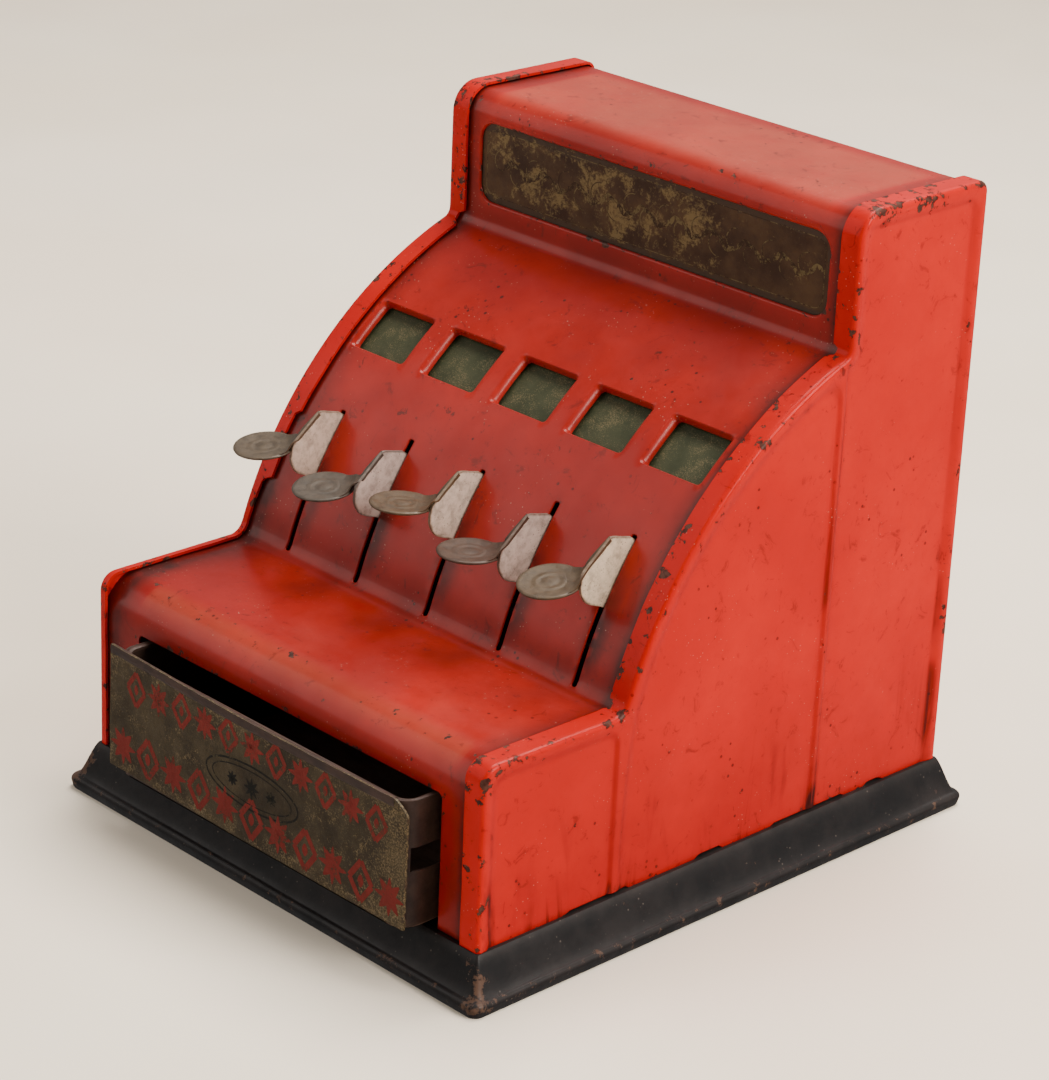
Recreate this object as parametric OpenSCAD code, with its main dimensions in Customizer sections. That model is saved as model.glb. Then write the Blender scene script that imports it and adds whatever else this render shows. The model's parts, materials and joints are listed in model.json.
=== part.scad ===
// Toy cash register: sheet-metal case on a pressed base, five sprung keys with number flags,
// a trip bail with a bell hammer, and a sliding drawer held by a leaf latch.
// Millimetres, +Z up, front towards -Y, origin on the floor at the centre of the whole footprint.

/* [Case] */
// Width of the case over its side panels
case_w = 136.5; // [134:0.5:140]
// Depth of the case from front to back
case_d = 156.4; // [155.5:0.1:158]
// Height of the case above the base
case_h = 150.4; // [148:0.1:154]
// Height of the front shelf above the base
shelf_h = 45.5; // [44.5:0.1:46.5]
// Distance from the case front to the upright marquee face
marquee_y = 111.6; // [109:0.1:113]
// Thickness of the case sheet
sheet_t = 0.8; // [0.6:0.1:0.9]
// Width of the flange that each side panel turns over the cover
flange_w = 6; // [5:0.5:7]
// Bend radius at the front top corner of the side panels
rim_front_r = 4.5; // [3:0.5:6]
// Bend radius between the cover's front and its shelf
cover_front_r = 11; // [8:0.5:11.5]
// Bend radius between the marquee face and the top
top_r = 7.5; // [5:0.5:8]

/* [Base] */
// Height of the pressed base
base_h = 12.5; // [11.5:0.5:14]
// How far the base skirt flares past the case
skirt_w = 6.3; // [5.5:0.1:7]

/* [Key sweep] */
// Distance of the key shaft behind the case front
pivot_y = 148; // [147.8:0.1:148.2]
// Height of the key shaft above the base
pivot_z = 12.5; // [12.3:0.1:12.7]
// Radius of the curved key panel about the key shaft
sweep_r = 109.8; // [109.6:0.1:110]
// Spacing of the keys
key_pitch = 25.3; // [24.8:0.1:25.6]
// Angle that a key turns when it is pressed
key_travel = 9.5; // [8:0.5:9.5]
// How much lower the second and fourth keys rest
key_droop = 1.4; // [0:0.2:1.4]
// Thickness of a key lever
lever_t = 0.9; // [0.7:0.1:1]
// Width of the slots that the keys move in
slot_w = 1.5; // [1.4:0.1:2]
// Diameter of a finger pad
pad_d = 15.8; // [13:0.2:16]
// Radius of the key shaft
shaft_r = 1.6; // [1.4:0.1:1.8]

/* [Windows and label] */
// Width of a number window
window_w = 17; // [15:0.5:18]
// Angle of a window's lower edge
window_low = 46.4; // [46:0.1:47]
// Angle of a window's upper edge
window_high = 53.6; // [53:0.1:54]
// Width of the label opening
label_w = 117; // [100:1:118]
// Height of the label opening
label_h = 20.4; // [16:0.1:20.4]

/* [Drawer] */
// Width of the drawer opening
opening_w = 108.8; // [108.2:0.2:109.6]
// Height of the drawer opening
opening_h = 33.8; // [33.6:0.1:34]
// Depth of the drawer tray
tray_d = 73; // [60:1:73]
// How far the drawer stands open at rest
drawer_gap = 7.5; // [7:0.5:8]

/* [Hidden] */

red = [0.72, 0.13, 0.08];
black = [0.08, 0.08, 0.08];
steel = [0.62, 0.61, 0.57];
dark_steel = [0.30, 0.28, 0.26];
olive = [0.25, 0.24, 0.18];
green = [0.16, 0.21, 0.15];
brass = [0.66, 0.52, 0.25];

smooth = 96;                               // facets of a full round
seam = 0.25;                               // gap between a flange and the sheet under it
cover_in = sheet_t + seam;                 // inset of the cover from the rim
cover_r = sweep_r - cover_in;              // outer radius of the cover's key panel
knee_r = 4;                                // fillet between shelf and key panel
crease_r = 2.5;                            // fillet between key panel and marquee
back_r = 3;                                // bend at the top back corner
skirt_lip_r = 1.4;                         // rounding of the skirt's lip
skirt_foot = 0.35;                         // the lip's foot stands this far in from its widest line
base_corner_r = 2.6;                       // rounding of the skirt's corners
hem_w = 2.6;                               // hem turned in under the base, which it rests on
back_turn = 9;                             // how far the cover turns down over the back plate
knee_bead_y = 43;                          // stiffening bead under the foot of the key panel
crease_z = pivot_z + sqrt(pow(sweep_r, 2) - pow(pivot_y - marquee_y, 2));
label_z = case_h - top_r - 0.6 - label_h / 2;

// Keys. Angles are measured up from the level line that runs forward from the key shaft.
KEYS = [1:5];
function key_x(n) = (n - 3) * key_pitch;
function key_angle(n) = lever_angle - (n % 2 == 0 ? key_droop : 0);
lever_angle = 32.55;                       // angle of a lever's centre line at the top of its stroke
blade_low = -4.6;                          // blade edges in the slot, relative to the centre line
blade_high = 4.6;
slot_gap = 0.5;                            // how far a slot runs on past the blade's stroke
slot_low = lever_angle + blade_low - key_travel - slot_gap;
slot_high = lever_angle + blade_high + slot_gap;
window_shift = -0.75;                      // windows sit a little left of the slots
run_gap = 0.05;                            // radial clearance of a running fit
hub_r = 5;
arm_w = 10;                                // width of the lever's lower arm
flag_arm_w = 7;
// Front of the blade outside its slot, from its foot up: distance out from the cover, and angle
BLADE_FRONT = [[2.3, -4.6], [5.1, -4.75], [7.0, -4.4], [8.9, -3.7], [9.8, -2.9], [10.4, -2.0],
    [10.2, -1.2], [9.2, 0.1], [8.1, 1.7], [7.4, 2.9], [6.6, 3.4], [1.2, 4.5]];
lip = 1.8;                                 // depth of a window's turned-in edge
flag_r = cover_r - sheet_t - lip - 0.5;    // outer radius of a number flag
flag_t = 0.6;
flag_past = 1.5;                           // how far a flag runs on past its window
flag_low = window_low - flag_past - lever_angle;
flag_high = window_high + flag_past + 9.5 - lever_angle;
flag_arm = 25;                             // flag arm, relative to the centre line
pad_r = pad_d / 2;
pad_t = 0.9;
pad_angle = -3.6;                          // pad centre, relative to the centre line
pad_proud = 10.9;                          // pad centre, proud of the cover
PAD_TILTS = [7, 6, -2, -2, 11];            // how far each pad's top leans forward
PAD_LIFTS = [0.9, 0.6, 2, 1, -1];          // how much higher each pad sits, bent by use

// Trip bail, hinged on the key shaft outside the outer keys
bail_x = 57;
bail_t = 1;
bail_r = 66;
bar_r = 1.25;
bail_slack = 1.4;                          // angle from a fully pressed lever down to the bail's bar
bail_angle = lever_angle - key_travel - asin(arm_w / 2 / bail_r) - bail_slack;
bar_y = pivot_y - bail_r * cos(bail_angle);
bar_z = pivot_z + bail_r * sin(bail_angle);
ear_x = 61;

// Bell
bell_x = -22;
bell_y = 106;
bell_r = 17;
bell_h = 8;
bell_top = 14;
dome_r = (bell_r * bell_r + bell_h * bell_h) / (2 * bell_h);
hammer_x = -12.5;
hammer_y = 99;
hammer_z = 16.4;
hammer_r = 2.4;
strip_t = 0.7;

// Drawer, measured at rest
tray_w = 104;
tray_h = 31.6;
tray_z = 1.2;
plate_t = 0.8;
plate_w = 106.6;
plate_low = 2;
plate_high = 33.2;
plate_y = -drawer_gap - plate_t;
front_overhang = drawer_gap + plate_t - skirt_w; // how far the drawer stands past the base at rest
tray_y = -drawer_gap;
tray_back = tray_y + tray_d;
tongue = 6.6;                              // from the tray's back to the catch's turned-down end
latch_x = 37;
leaf_t = 0.6;
leaf_step = 17.4;                          // from the latch's nose to its riveted foot
nose_y = tray_back + drawer_gap + tongue - leaf_t - 0.15;
spring_x = 12;
spring_z = 12;
spring_stop_y = 92;

// Places its children in the case's own coordinates: y from the case front, z from the base top
module in_case() { translate([0, (front_overhang - case_d) / 2, base_h]) children(); }

// Turns a flat outline drawn in y and z into a slab between two x positions
module slab(x0, x1) {
    translate([x0, 0, 0]) rotate([90, 0, 90]) linear_extrude(x1 - x0) children();
}

// Turns an outline drawn in x and z into a slab between two y positions
module slab_y(y0, y1) {
    translate([0, y1, 0]) rotate([90, 0, 0]) linear_extrude(y1 - y0) children();
}

// A round rod along x
module rod(x0, x1, r) {
    translate([x0, 0, 0]) rotate([0, 90, 0]) cylinder(h = x1 - x0, r = r, $fn = smooth);
}

// Moves to a key's shaft and turns so that +y runs out along a line at the given angle
module at_pivot(angle) {
    translate([0, pivot_y, pivot_z]) rotate([-angle, 0, 0]) mirror([0, 1, 0]) children();
}

function polar(r, a) = [pivot_y - r * cos(a), pivot_z + r * sin(a)];
function arc(c, r, a0, a1, n) = [for (i = [0:n]) let (a = a0 + (a1 - a0) * i / n) c + r * [cos(a), sin(a)]];

// A ring sector about the key shaft, between two radii and two angles
module sector(r0, r1, a0, a1, n = 12) {
    polygon(concat(
        [for (i = [0:n]) polar(r1, a0 + (a1 - a0) * i / n)],
        [for (i = [n:-1:0]) polar(r0, a0 + (a1 - a0) * i / n)]));
}

// The case's side outline, moved inwards by inset; low is where its open bottom ends
module outline(inset, front_r, marquee_r, rear_r, low = 0) {
    centre = [pivot_y, pivot_z];
    knee = [pivot_y - sqrt(pow(sweep_r + knee_r, 2) - pow(shelf_h + knee_r - pivot_z, 2)), shelf_h + knee_r];
    crease = [marquee_y - crease_r,
        pivot_z + sqrt(pow(sweep_r + crease_r, 2) - pow(pivot_y - marquee_y + crease_r, 2))];
    knee_a = atan2(centre.y - knee.y, centre.x - knee.x);
    crease_a = atan2(crease.y - centre.y, crease.x - centre.x);
    polygon(concat(
        [[inset, low]],
        arc([front_r, shelf_h - front_r], front_r - inset, 180, 90, 10),
        arc(knee, knee_r + inset, -90, knee_a, 8),
        arc(centre, sweep_r - inset, knee_a + 180, crease_a, 40),
        arc(crease, crease_r + inset, crease_a - 180, 0, 6),
        arc([marquee_y + marquee_r, case_h - marquee_r], marquee_r - inset, 180, 90, 8),
        arc([case_d - rear_r, case_h - rear_r], rear_r - inset, 90, 0, 6),
        [[case_d - inset, low]]));
}

module ring_of_sheet(inset, front_r, marquee_r, rear_r) {
    difference() {
        outline(inset, front_r, marquee_r, rear_r);
        outline(inset + sheet_t, front_r, marquee_r, rear_r, -1);
    }
}

// Sweeps a round wire along a list of points
function unit(v) = v / norm(v);
function tangents(p) = [for (i = [0:len(p) - 1]) unit(p[min(i + 1, len(p) - 1)] - p[max(i - 1, 0)])];
function normals(t, u, i = 0) = i == len(t) ? [] :
    let (n = unit(u - (u * t[i]) * t[i])) concat([n], normals(t, n, i + 1));
module wire(path, r, start = [1, 0.2, 0.1], sides = 7) {
    t = tangents(path);
    n = normals(t, start);
    last = len(path) - 1;
    polyhedron(
        points = [for (i = [0:last]) for (k = [0:sides - 1])
            path[i] + r * (cos(360 * k / sides) * n[i] + sin(360 * k / sides) * cross(t[i], n[i]))],
        faces = concat(
            [[for (k = [0:sides - 1]) k]],
            [for (i = [0:last - 1]) for (k = [0:sides - 1])
                [i * sides + k, (i + 1) * sides + k,
                 (i + 1) * sides + (k + 1) % sides, i * sides + (k + 1) % sides]],
            [[for (k = [sides - 1:-1:0]) last * sides + k]]));
}

// A flat-headed rivet standing on a sheet
module rivet(head_r = 1.8, head_h = 0.7) {
    cylinder(h = head_h, r1 = head_r, r2 = head_r * 0.6, $fn = 32);
}

// ---------------------------------------------------------------- case

// Outer edge of the base skirt at a depth t under its surface: x runs out from the case face, y up
// from the floor. A small ledge, an ogee fall and a rounded lip.
function skirt_edge(t) =
    let (ledge = skirt_w * 0.05, lip_z = base_h * 0.22, fall = base_h - lip_z - skirt_lip_r, steps = 12)
    concat(
        [for (i = [0:steps]) let (u = i / steps)
            [ledge + (skirt_w - skirt_lip_r - ledge) * u, base_h - t - fall * (1 - cos(180 * u)) / 2]],
        arc([skirt_w - skirt_lip_r, lip_z], skirt_lip_r - t, 75, -20, 6),
        [[skirt_w - skirt_foot - t, t > 0 ? -1 : 0]]);
// The whole base across one direction, filled, t inside its surface
module base_section(half, t) {
    side = [for (p = skirt_edge(t)) [half + p.x, p.y]];
    polygon(concat(side, [for (i = [len(side) - 1:-1:0]) [-side[i].x, side[i].y]]));
}

// The pressed shape: four mitred skirts with rounded corners, filled
module base_block(t) {
    reach = case_d + 4 * skirt_w;
    intersection() {
        rotate([90, 0, 90]) translate([0, 0, -reach / 2]) linear_extrude(reach) base_section(case_d / 2, t);
        rotate([90, 0, 0]) translate([0, 0, -reach / 2]) linear_extrude(reach) base_section(case_w / 2, t);
        translate([0, 0, -2]) linear_extrude(base_h + 2)
            rounded_box(case_w + 2 * (skirt_w - t), case_d + 2 * (skirt_w - t), base_corner_r - t);
    }
}

module base_pan() {
    foot = skirt_w - skirt_foot;
    color(black) difference() {
        translate([0, front_overhang / 2, 0]) {
            difference() {
                base_block(0);
                base_block(sheet_t);
            }
            // hem turned in under the skirt
            linear_extrude(sheet_t) difference() {
                rounded_box(case_w + 2 * foot, case_d + 2 * foot, base_corner_r - skirt_foot);
                rounded_box(case_w + 2 * (foot - hem_w), case_d + 2 * (foot - hem_w), 0.5);
            }
        }
        // the latch leaf dips through this hole
        in_case() translate([latch_x - 5, nose_y - 4, -2 * sheet_t]) cube([10, 19, 4 * sheet_t]);
    }
}

// One side panel with its rim flange; the right one as drawn, the left one mirrored
module side_panel() {
    color(red) in_case() {
        slab(case_w / 2 - sheet_t, case_w / 2) outline(0, rim_front_r, top_r, back_r);
        slab(case_w / 2 - flange_w, case_w / 2 - sheet_t) ring_of_sheet(0, rim_front_r, top_r, back_r);
        // upright stiffening beads pressed into the panel
        for (bead = [[knee_bead_y, shelf_h - 2.2], [marquee_y, crease_z - 4]])
            translate([case_w / 2 - 0.7, bead[0], 0.01]) cylinder(h = bead[1], r = 1.2, $fn = 32);
    }
}
module right_side() { side_panel(); }
module left_side() { mirror([1, 0, 0]) side_panel(); }

module front_cover() {
    half = case_w / 2 - sheet_t - seam;
    color(red) in_case() difference() {
        union() {
            slab(-half, half) difference() {
                ring_of_sheet(cover_in, cover_front_r, top_r, back_r);
                // below its turned-down edge the back is a separate plate
                translate([case_d - 6, -2]) square([8, case_h - back_turn + 2]);
            }
            for (n = KEYS) slab(window_x(n) - window_w / 2 - 0.6, window_x(n) + window_w / 2 + 0.6)
                sector(cover_r - sheet_t - lip, cover_r - sheet_t + 0.2, window_low - 0.3, window_high + 0.3);
        }
        for (n = KEYS) {
            slab(window_x(n) - window_w / 2, window_x(n) + window_w / 2)
                sector(cover_r - 6, cover_r + 3, window_low, window_high);
            slab(key_x(n) - slot_w / 2, key_x(n) + slot_w / 2)
                sector(cover_r - 6, cover_r + 3, slot_low, slot_high);
        }
        translate([-opening_w / 2, -1, -1]) cube([opening_w, 4, opening_h + 1]);
        translate([0, marquee_y + 4, label_z]) rotate([90, 0, 0]) linear_extrude(8)
            rounded_box(label_w, label_h, 4.5);
    }
}
function window_x(n) = key_x(n) + window_shift;

// A rectangle with round corners, centred
module rounded_box(w, h, r) {
    square([w - 2 * r, h], center = true);
    square([w, h - 2 * r], center = true);
    for (sx = [-1, 1], sy = [-1, 1]) translate([sx * (w / 2 - r), sy * (h / 2 - r)]) circle(r, $fn = 48);
}

module back_plate() {
    half = case_w / 2 - sheet_t - seam;
    color(red) in_case() translate([-half, case_d - cover_in - 2 * sheet_t - 0.05, 0])
        cube([2 * half, sheet_t, case_h - cover_in - back_r]);
}

module marquee_plate() {
    color(olive) in_case() translate([0, marquee_y + cover_in + sheet_t + 0.55, label_z - 0.5])
        rotate([90, 0, 0]) linear_extrude(0.5) rounded_box(label_w + 4, label_h + 1.6, 2);
}

// ---------------------------------------------------------------- key shaft

module pivot_bracket() {
    color(dark_steel) in_case() {
        translate([-ear_x - 0.5, pivot_y - 8, 0]) cube([2 * ear_x + 1, 11, 1]);
        for (side = [-1, 1]) difference() {
            slab(side * ear_x - 0.5, side * ear_x + 0.5) {
                translate([pivot_y - 5, 1]) square([9, pivot_z - 1]);
                translate([pivot_y, pivot_z]) circle(4.5, $fn = 48);
            }
            translate([0, pivot_y, pivot_z]) rod(side * ear_x - 1, side * ear_x + 1, shaft_r + 0.02);
        }
    }
}

module bracket_rivets() {
    color(dark_steel) in_case() for (x = [-44, -15, 15, 44]) translate([x, pivot_y - 5.5, 1.001]) rivet();
}

module key_shaft() {
    color(steel) in_case() translate([0, pivot_y, pivot_z]) rod(-ear_x - 2.5, ear_x + 2.5, shaft_r);
}

module shaft_caps() {
    color(steel) in_case() for (side = [-1, 1]) translate([side * (ear_x + 1.7), pivot_y, pivot_z])
        rotate([0, 90, 0]) difference() {
            translate([0, 0, -0.8]) cylinder(h = 1.6, r = 3.2, $fn = 48);
            translate([0, 0, -2]) cylinder(h = 4, r = shaft_r + 0.02, $fn = smooth);
        }
}

// Tubes that keep the levers and the bail apart on the shaft
module shaft_spacers() {
    stops = [-ear_x + 0.5, -bail_x, key_x(1), key_x(2), key_x(3), key_x(4), key_x(5), bail_x, ear_x - 0.5];
    half = [0, bail_t / 2, lever_t / 2, lever_t / 2, lever_t / 2, lever_t / 2, lever_t / 2, bail_t / 2, 0];
    color(steel) in_case() translate([0, pivot_y, pivot_z])
        for (i = [0:len(stops) - 2]) difference() {
            rod(stops[i] + half[i] + 0.1, stops[i + 1] - half[i + 1] - 0.1, 2.7);
            rod(stops[i], stops[i + 1], shaft_r + 0.02);
        }
}

// ---------------------------------------------------------------- keys

// Outline of a lever about its shaft: x runs out along the centre line, y across it, up
function blade(out, a) = (cover_r + out) * [cos(a), sin(a)];
module lever_outline() {
    difference() {
        union() {
            circle(hub_r, $fn = 64);
            polygon(concat(
                [[0, -3.5], [18, -arm_w / 2], [96, -arm_w / 2], blade(-5, blade_low)],
                [for (p = BLADE_FRONT) blade(p[0], p[1])],
                [blade(-5, blade_high), [96, arm_w / 2], [18, arm_w / 2], [0, 3.5]]));
            intersection() {
                circle(flag_r - flag_t - 0.02, $fn = 256);
                rotate(flag_arm) translate([0, -flag_arm_w / 2]) square([flag_r, flag_arm_w]);
            }
        }
        circle(shaft_r + run_gap, $fn = smooth);
    }
}

// Disc with a raised ring and a neck that joins the blade
module pad(tilt, lift) {
    translate([0, pivot_y, pivot_z]) rotate([-pad_angle, 0, 0]) translate([-pad_r, -cover_r - pad_proud, 0])
        rotate([lever_angle + pad_angle, 0, 0]) translate([0, 0, lift]) rotate([tilt, 0, 0]) {
            cylinder(h = pad_t, r = pad_r, center = true, $fn = 64);
            translate([0, 0, pad_t / 2]) difference() {
                cylinder(h = 0.3, r = pad_r - 2.2, $fn = 64);
                translate([0, 0, -1]) cylinder(h = 2, r = pad_r - 3, $fn = 64);
            }
            translate([pad_r * 0.55, -3.2, -pad_t / 2]) cube([pad_r * 0.45, 8.4, pad_t]);
        }
}

module key_lever(n) {
    color(steel) in_case() translate([key_x(n), 0, 0]) {
        at_pivot(key_angle(n)) slab(-lever_t / 2, lever_t / 2) lever_outline();
        translate([0, pivot_y, pivot_z]) rotate([-key_angle(n), 0, 0])
            translate([0, -pivot_y, -pivot_z]) pad(PAD_TILTS[n - 1], PAD_LIFTS[n - 1]);
    }
}
module key_lever_1() { key_lever(1); }
module key_lever_2() { key_lever(2); }
module key_lever_3() { key_lever(3); }
module key_lever_4() { key_lever(4); }
module key_lever_5() { key_lever(5); }

// Curved tin flag behind a window, carried by its lever's upper arm
module number_flag(n) {
    shift = key_angle(n);
    color(green) in_case() slab(window_x(n) - window_w / 2 - 1.6, window_x(n) + window_w / 2 + 1.6)
        sector(flag_r - flag_t, flag_r, flag_low + shift, flag_high + shift);
}
module number_flag_1() { number_flag(1); }
module number_flag_2() { number_flag(2); }
module number_flag_3() { number_flag(3); }
module number_flag_4() { number_flag(4); }
module number_flag_5() { number_flag(5); }

// Torsion spring about the shaft: one leg stands on the bracket, the other lifts an arm
module torsion_spring(x, angle, arm_offset) {
    coil_r = 3.7;
    wire_r = 0.4;
    turns = 3;
    steps = 14;
    first = 270;                                  // coil angle where the standing leg leaves
    last = 270 - angle;                           // coil angle where the lifting leg leaves
    sweep = 360 * turns + (last - first);
    points = turns * steps;
    lift = [cos(angle), sin(angle)];
    path = concat(
        [[x, pivot_y - 7, 1.45], [x, pivot_y - 5, 3.6]],
        [for (i = [0:points]) let (a = first + sweep * i / points)
            [x + 2.6 * i / points, pivot_y + coil_r * cos(a), pivot_z + coil_r * sin(a)]],
        [for (p = [[8, 2.6], [16, 2.6], [21.5, 2.6], [22, 1.6], [22, -2.4]])
            let (off = coil_r + (arm_offset - coil_r) * p[0] / 22)
            [x + p[1], pivot_y - p[0] * lift.x - off * lift.y, pivot_z + p[0] * lift.y - off * lift.x]]);
    color(steel) in_case() wire(path, wire_r);
}
module key_spring(n) { torsion_spring(key_x(n) + 1.3, key_angle(n), arm_w / 2 + 0.6); }
module key_spring_1() { key_spring(1); }
module key_spring_2() { key_spring(2); }
module key_spring_3() { key_spring(3); }
module key_spring_4() { key_spring(4); }
module key_spring_5() { key_spring(5); }

// ---------------------------------------------------------------- trip bail and bell

module trip_bail() {
    color(dark_steel) in_case() {
        for (side = [-1, 1]) at_pivot(bail_angle) translate([side * bail_x, 0, 0]) difference() {
            slab(-bail_t / 2, bail_t / 2) {
                circle(4, $fn = 48);
                translate([0, -2.5]) square([bail_r, 5]);
                translate([bail_r, 0]) circle(2.5, $fn = 48);
            }
            rod(-2, 2, shaft_r + run_gap);
        }
        translate([0, bar_y, bar_z]) rod(-bail_x, bail_x, bar_r);
    }
}

// Strip that hangs from the bail and presses the latch leaf down
module release_finger() {
    color(dark_steel) in_case() difference() {
        slab(latch_x - 2, latch_x + 2) {
            translate([bar_y, bar_z]) circle(bar_r + 0.8, $fn = 48);
            translate([bar_y - 0.5, 1.7]) square([1, bar_z - 1.7]);
        }
        translate([0, bar_y, bar_z]) rod(latch_x - 3, latch_x + 3, bar_r + 0.02);
    }
}

module bail_spring() { torsion_spring(-bail_x + 1.6, bail_angle, 3.1); }

// Spring strip from the bail's bar to the hammer head
module hammer_strip() {
    elbow = [bar_y + 6, bar_z - 5.5];
    tip = [hammer_y - hammer_r + 0.4, hammer_z + 0.6];
    color(steel) in_case() difference() {
        slab(hammer_x - 0.9, hammer_x + 0.9) {
            translate([bar_y, bar_z]) circle(bar_r + 0.8, $fn = 48);
            polygon([[bar_y, bar_z], elbow, tip, tip - [0.1, strip_t], elbow - [0.3, strip_t],
                [bar_y, bar_z - 1]]);
        }
        translate([0, bar_y, bar_z]) rod(hammer_x - 3, hammer_x + 3, bar_r + 0.02);
        translate([hammer_x, hammer_y, hammer_z]) sphere(hammer_r + 0.02, $fn = 48);
    }
}

module hammer_head() {
    color(steel) in_case() translate([hammer_x, hammer_y, hammer_z]) sphere(hammer_r, $fn = 48);
}

module bell_post() {
    color(steel) in_case() translate([bell_x, bell_y, 0]) {
        cylinder(h = 1.2, r = 4, $fn = 48);
        cylinder(h = bell_top - sheet_t - 0.05, r = 2, $fn = 48);
        cylinder(h = bell_top + 1.4, r = 1.2, $fn = 48);
    }
}

// Dome of the bell with a hole for its post
module bell_gong() {
    color(brass) in_case() translate([bell_x, bell_y, bell_top]) rotate_extrude($fn = smooth)
        intersection() {
            translate([0, -dome_r]) difference() {
                circle(dome_r, $fn = 2 * smooth);
                circle(dome_r - sheet_t, $fn = 2 * smooth);
            }
            translate([1.25, -bell_h]) square([bell_r, bell_h + 1]);
        }
}

module bell_nut() {
    color(steel) in_case() translate([bell_x, bell_y, bell_top + 0.02]) difference() {
        cylinder(h = 1.3, r = 2.6, $fn = 6);
        translate([0, 0, -1]) cylinder(h = 4, r = 1.22, $fn = 48);
    }
}

// ---------------------------------------------------------------- drawer

module drawer_tray() {
    half = tray_w / 2;
    color(dark_steel) in_case() {
        translate([-half, tray_y, tray_z]) difference() {
            cube([tray_w, tray_d, tray_h]);
            translate([sheet_t, sheet_t, sheet_t]) cube([tray_w - 2 * sheet_t, tray_d - 2 * sheet_t, tray_h]);
            // gap in both side walls behind the front
            translate([-1, sheet_t, tray_h * 0.44]) cube([tray_w + 2, 15, 6]);
        }
        // ears that stop the drawer against the inside of the cover
        for (side = [-1, 1]) translate([side * (half + 2.2), tray_back - 3.6, tray_z + 22])
            cube([4.4, 1, 12], center = true);
    }
}

module drawer_front() {
    color(olive) in_case() translate([-plate_w / 2, plate_y, plate_low])
        cube([plate_w, plate_t, plate_high - plate_low]);
}

// Tongue behind the tray whose turned-down end drops behind the latch's nose
module drawer_catch() {
    color(dark_steel) in_case() slab(latch_x - 4, latch_x + 4) {
        translate([tray_back, 1.6]) square([sheet_t, 6]);
        translate([tray_back, 4.8]) square([tongue + sheet_t, sheet_t]);
        translate([tray_back + tongue, 1.6]) square([sheet_t, 4]);
    }
}

module drawer_guides() {
    inner = tray_w / 2 + 0.6;
    color(dark_steel) in_case() for (side = [-1, 1]) slab_y(4, 80) {
        translate([side * (inner + 0.4), 4]) square([0.8, 8], center = true);
        translate([side * (inner + 3), 0.4]) square([6, 0.8], center = true);
    }
}
module guide_rivets() {
    color(dark_steel) in_case() for (side = [-1, 1], y = [14, 70])
        translate([side * (tray_w / 2 + 4), y, 0.801]) rivet(1.4, 0.6);
}

// Leaf with an upturned nose that holds the drawer's catch
module drawer_latch() {
    color(steel) in_case() slab(latch_x - 3.5, latch_x + 3.5) {
        translate([nose_y, 0.65]) square([leaf_step + leaf_t, leaf_t]);
        translate([nose_y + leaf_step, 0]) square([leaf_t, 1]);
        translate([nose_y + leaf_step, 0]) square([9, leaf_t]);
        translate([nose_y, 0.65]) square([leaf_t, 3.6]);
    }
}

module latch_rivets() {
    color(dark_steel) in_case() for (x = [-1.8, 1.8]) translate([latch_x + x, nose_y + 22.5, leaf_t + 0.001])
        rivet(1.3, 0.6);
}

module spring_stop() {
    color(dark_steel) in_case() slab(spring_x - 5, spring_x + 5) {
        translate([spring_stop_y, 0]) square([1, 18]);
        translate([spring_stop_y, 0]) square([9, 1]);
    }
}

// Coil that pushes the drawer out when the latch lets go
module drawer_spring() {
    turns = 6;
    steps = 14;
    length = spring_stop_y - tray_back - 1.2;
    path = [for (i = [0:turns * steps])
        [spring_x + 4 * cos(360 * i / steps), tray_back + 0.6 + length * i / (turns * steps),
         spring_z + 4 * sin(360 * i / steps)]];
    color(steel) in_case() wire(path, 0.45, [1, 0.1, 0]);
}

base_pan();
left_side();
right_side();
front_cover();
back_plate();
marquee_plate();
pivot_bracket();
bracket_rivets();
key_shaft();
shaft_spacers();
shaft_caps();
key_lever_1();
key_lever_2();
key_lever_3();
key_lever_4();
key_lever_5();
number_flag_1();
number_flag_2();
number_flag_3();
number_flag_4();
number_flag_5();
key_spring_1();
key_spring_2();
key_spring_3();
key_spring_4();
key_spring_5();
trip_bail();
release_finger();
bail_spring();
hammer_strip();
hammer_head();
bell_post();
bell_gong();
bell_nut();
drawer_tray();
drawer_front();
drawer_catch();
drawer_guides();
guide_rivets();
drawer_latch();
latch_rivets();
spring_stop();
drawer_spring();
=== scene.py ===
"""Looks of the toy cash register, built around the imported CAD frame.

Lengths are millimetres in the case's own coordinates, y from the case front and z from the base top,
and row() turns them into metres in the row frame.
"""

import json
import math

import bmesh
import bpy
import numpy as np
from mathutils import Matrix, Vector, kdtree, noise
from mathutils.geometry import delaunay_2d_cdt

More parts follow.
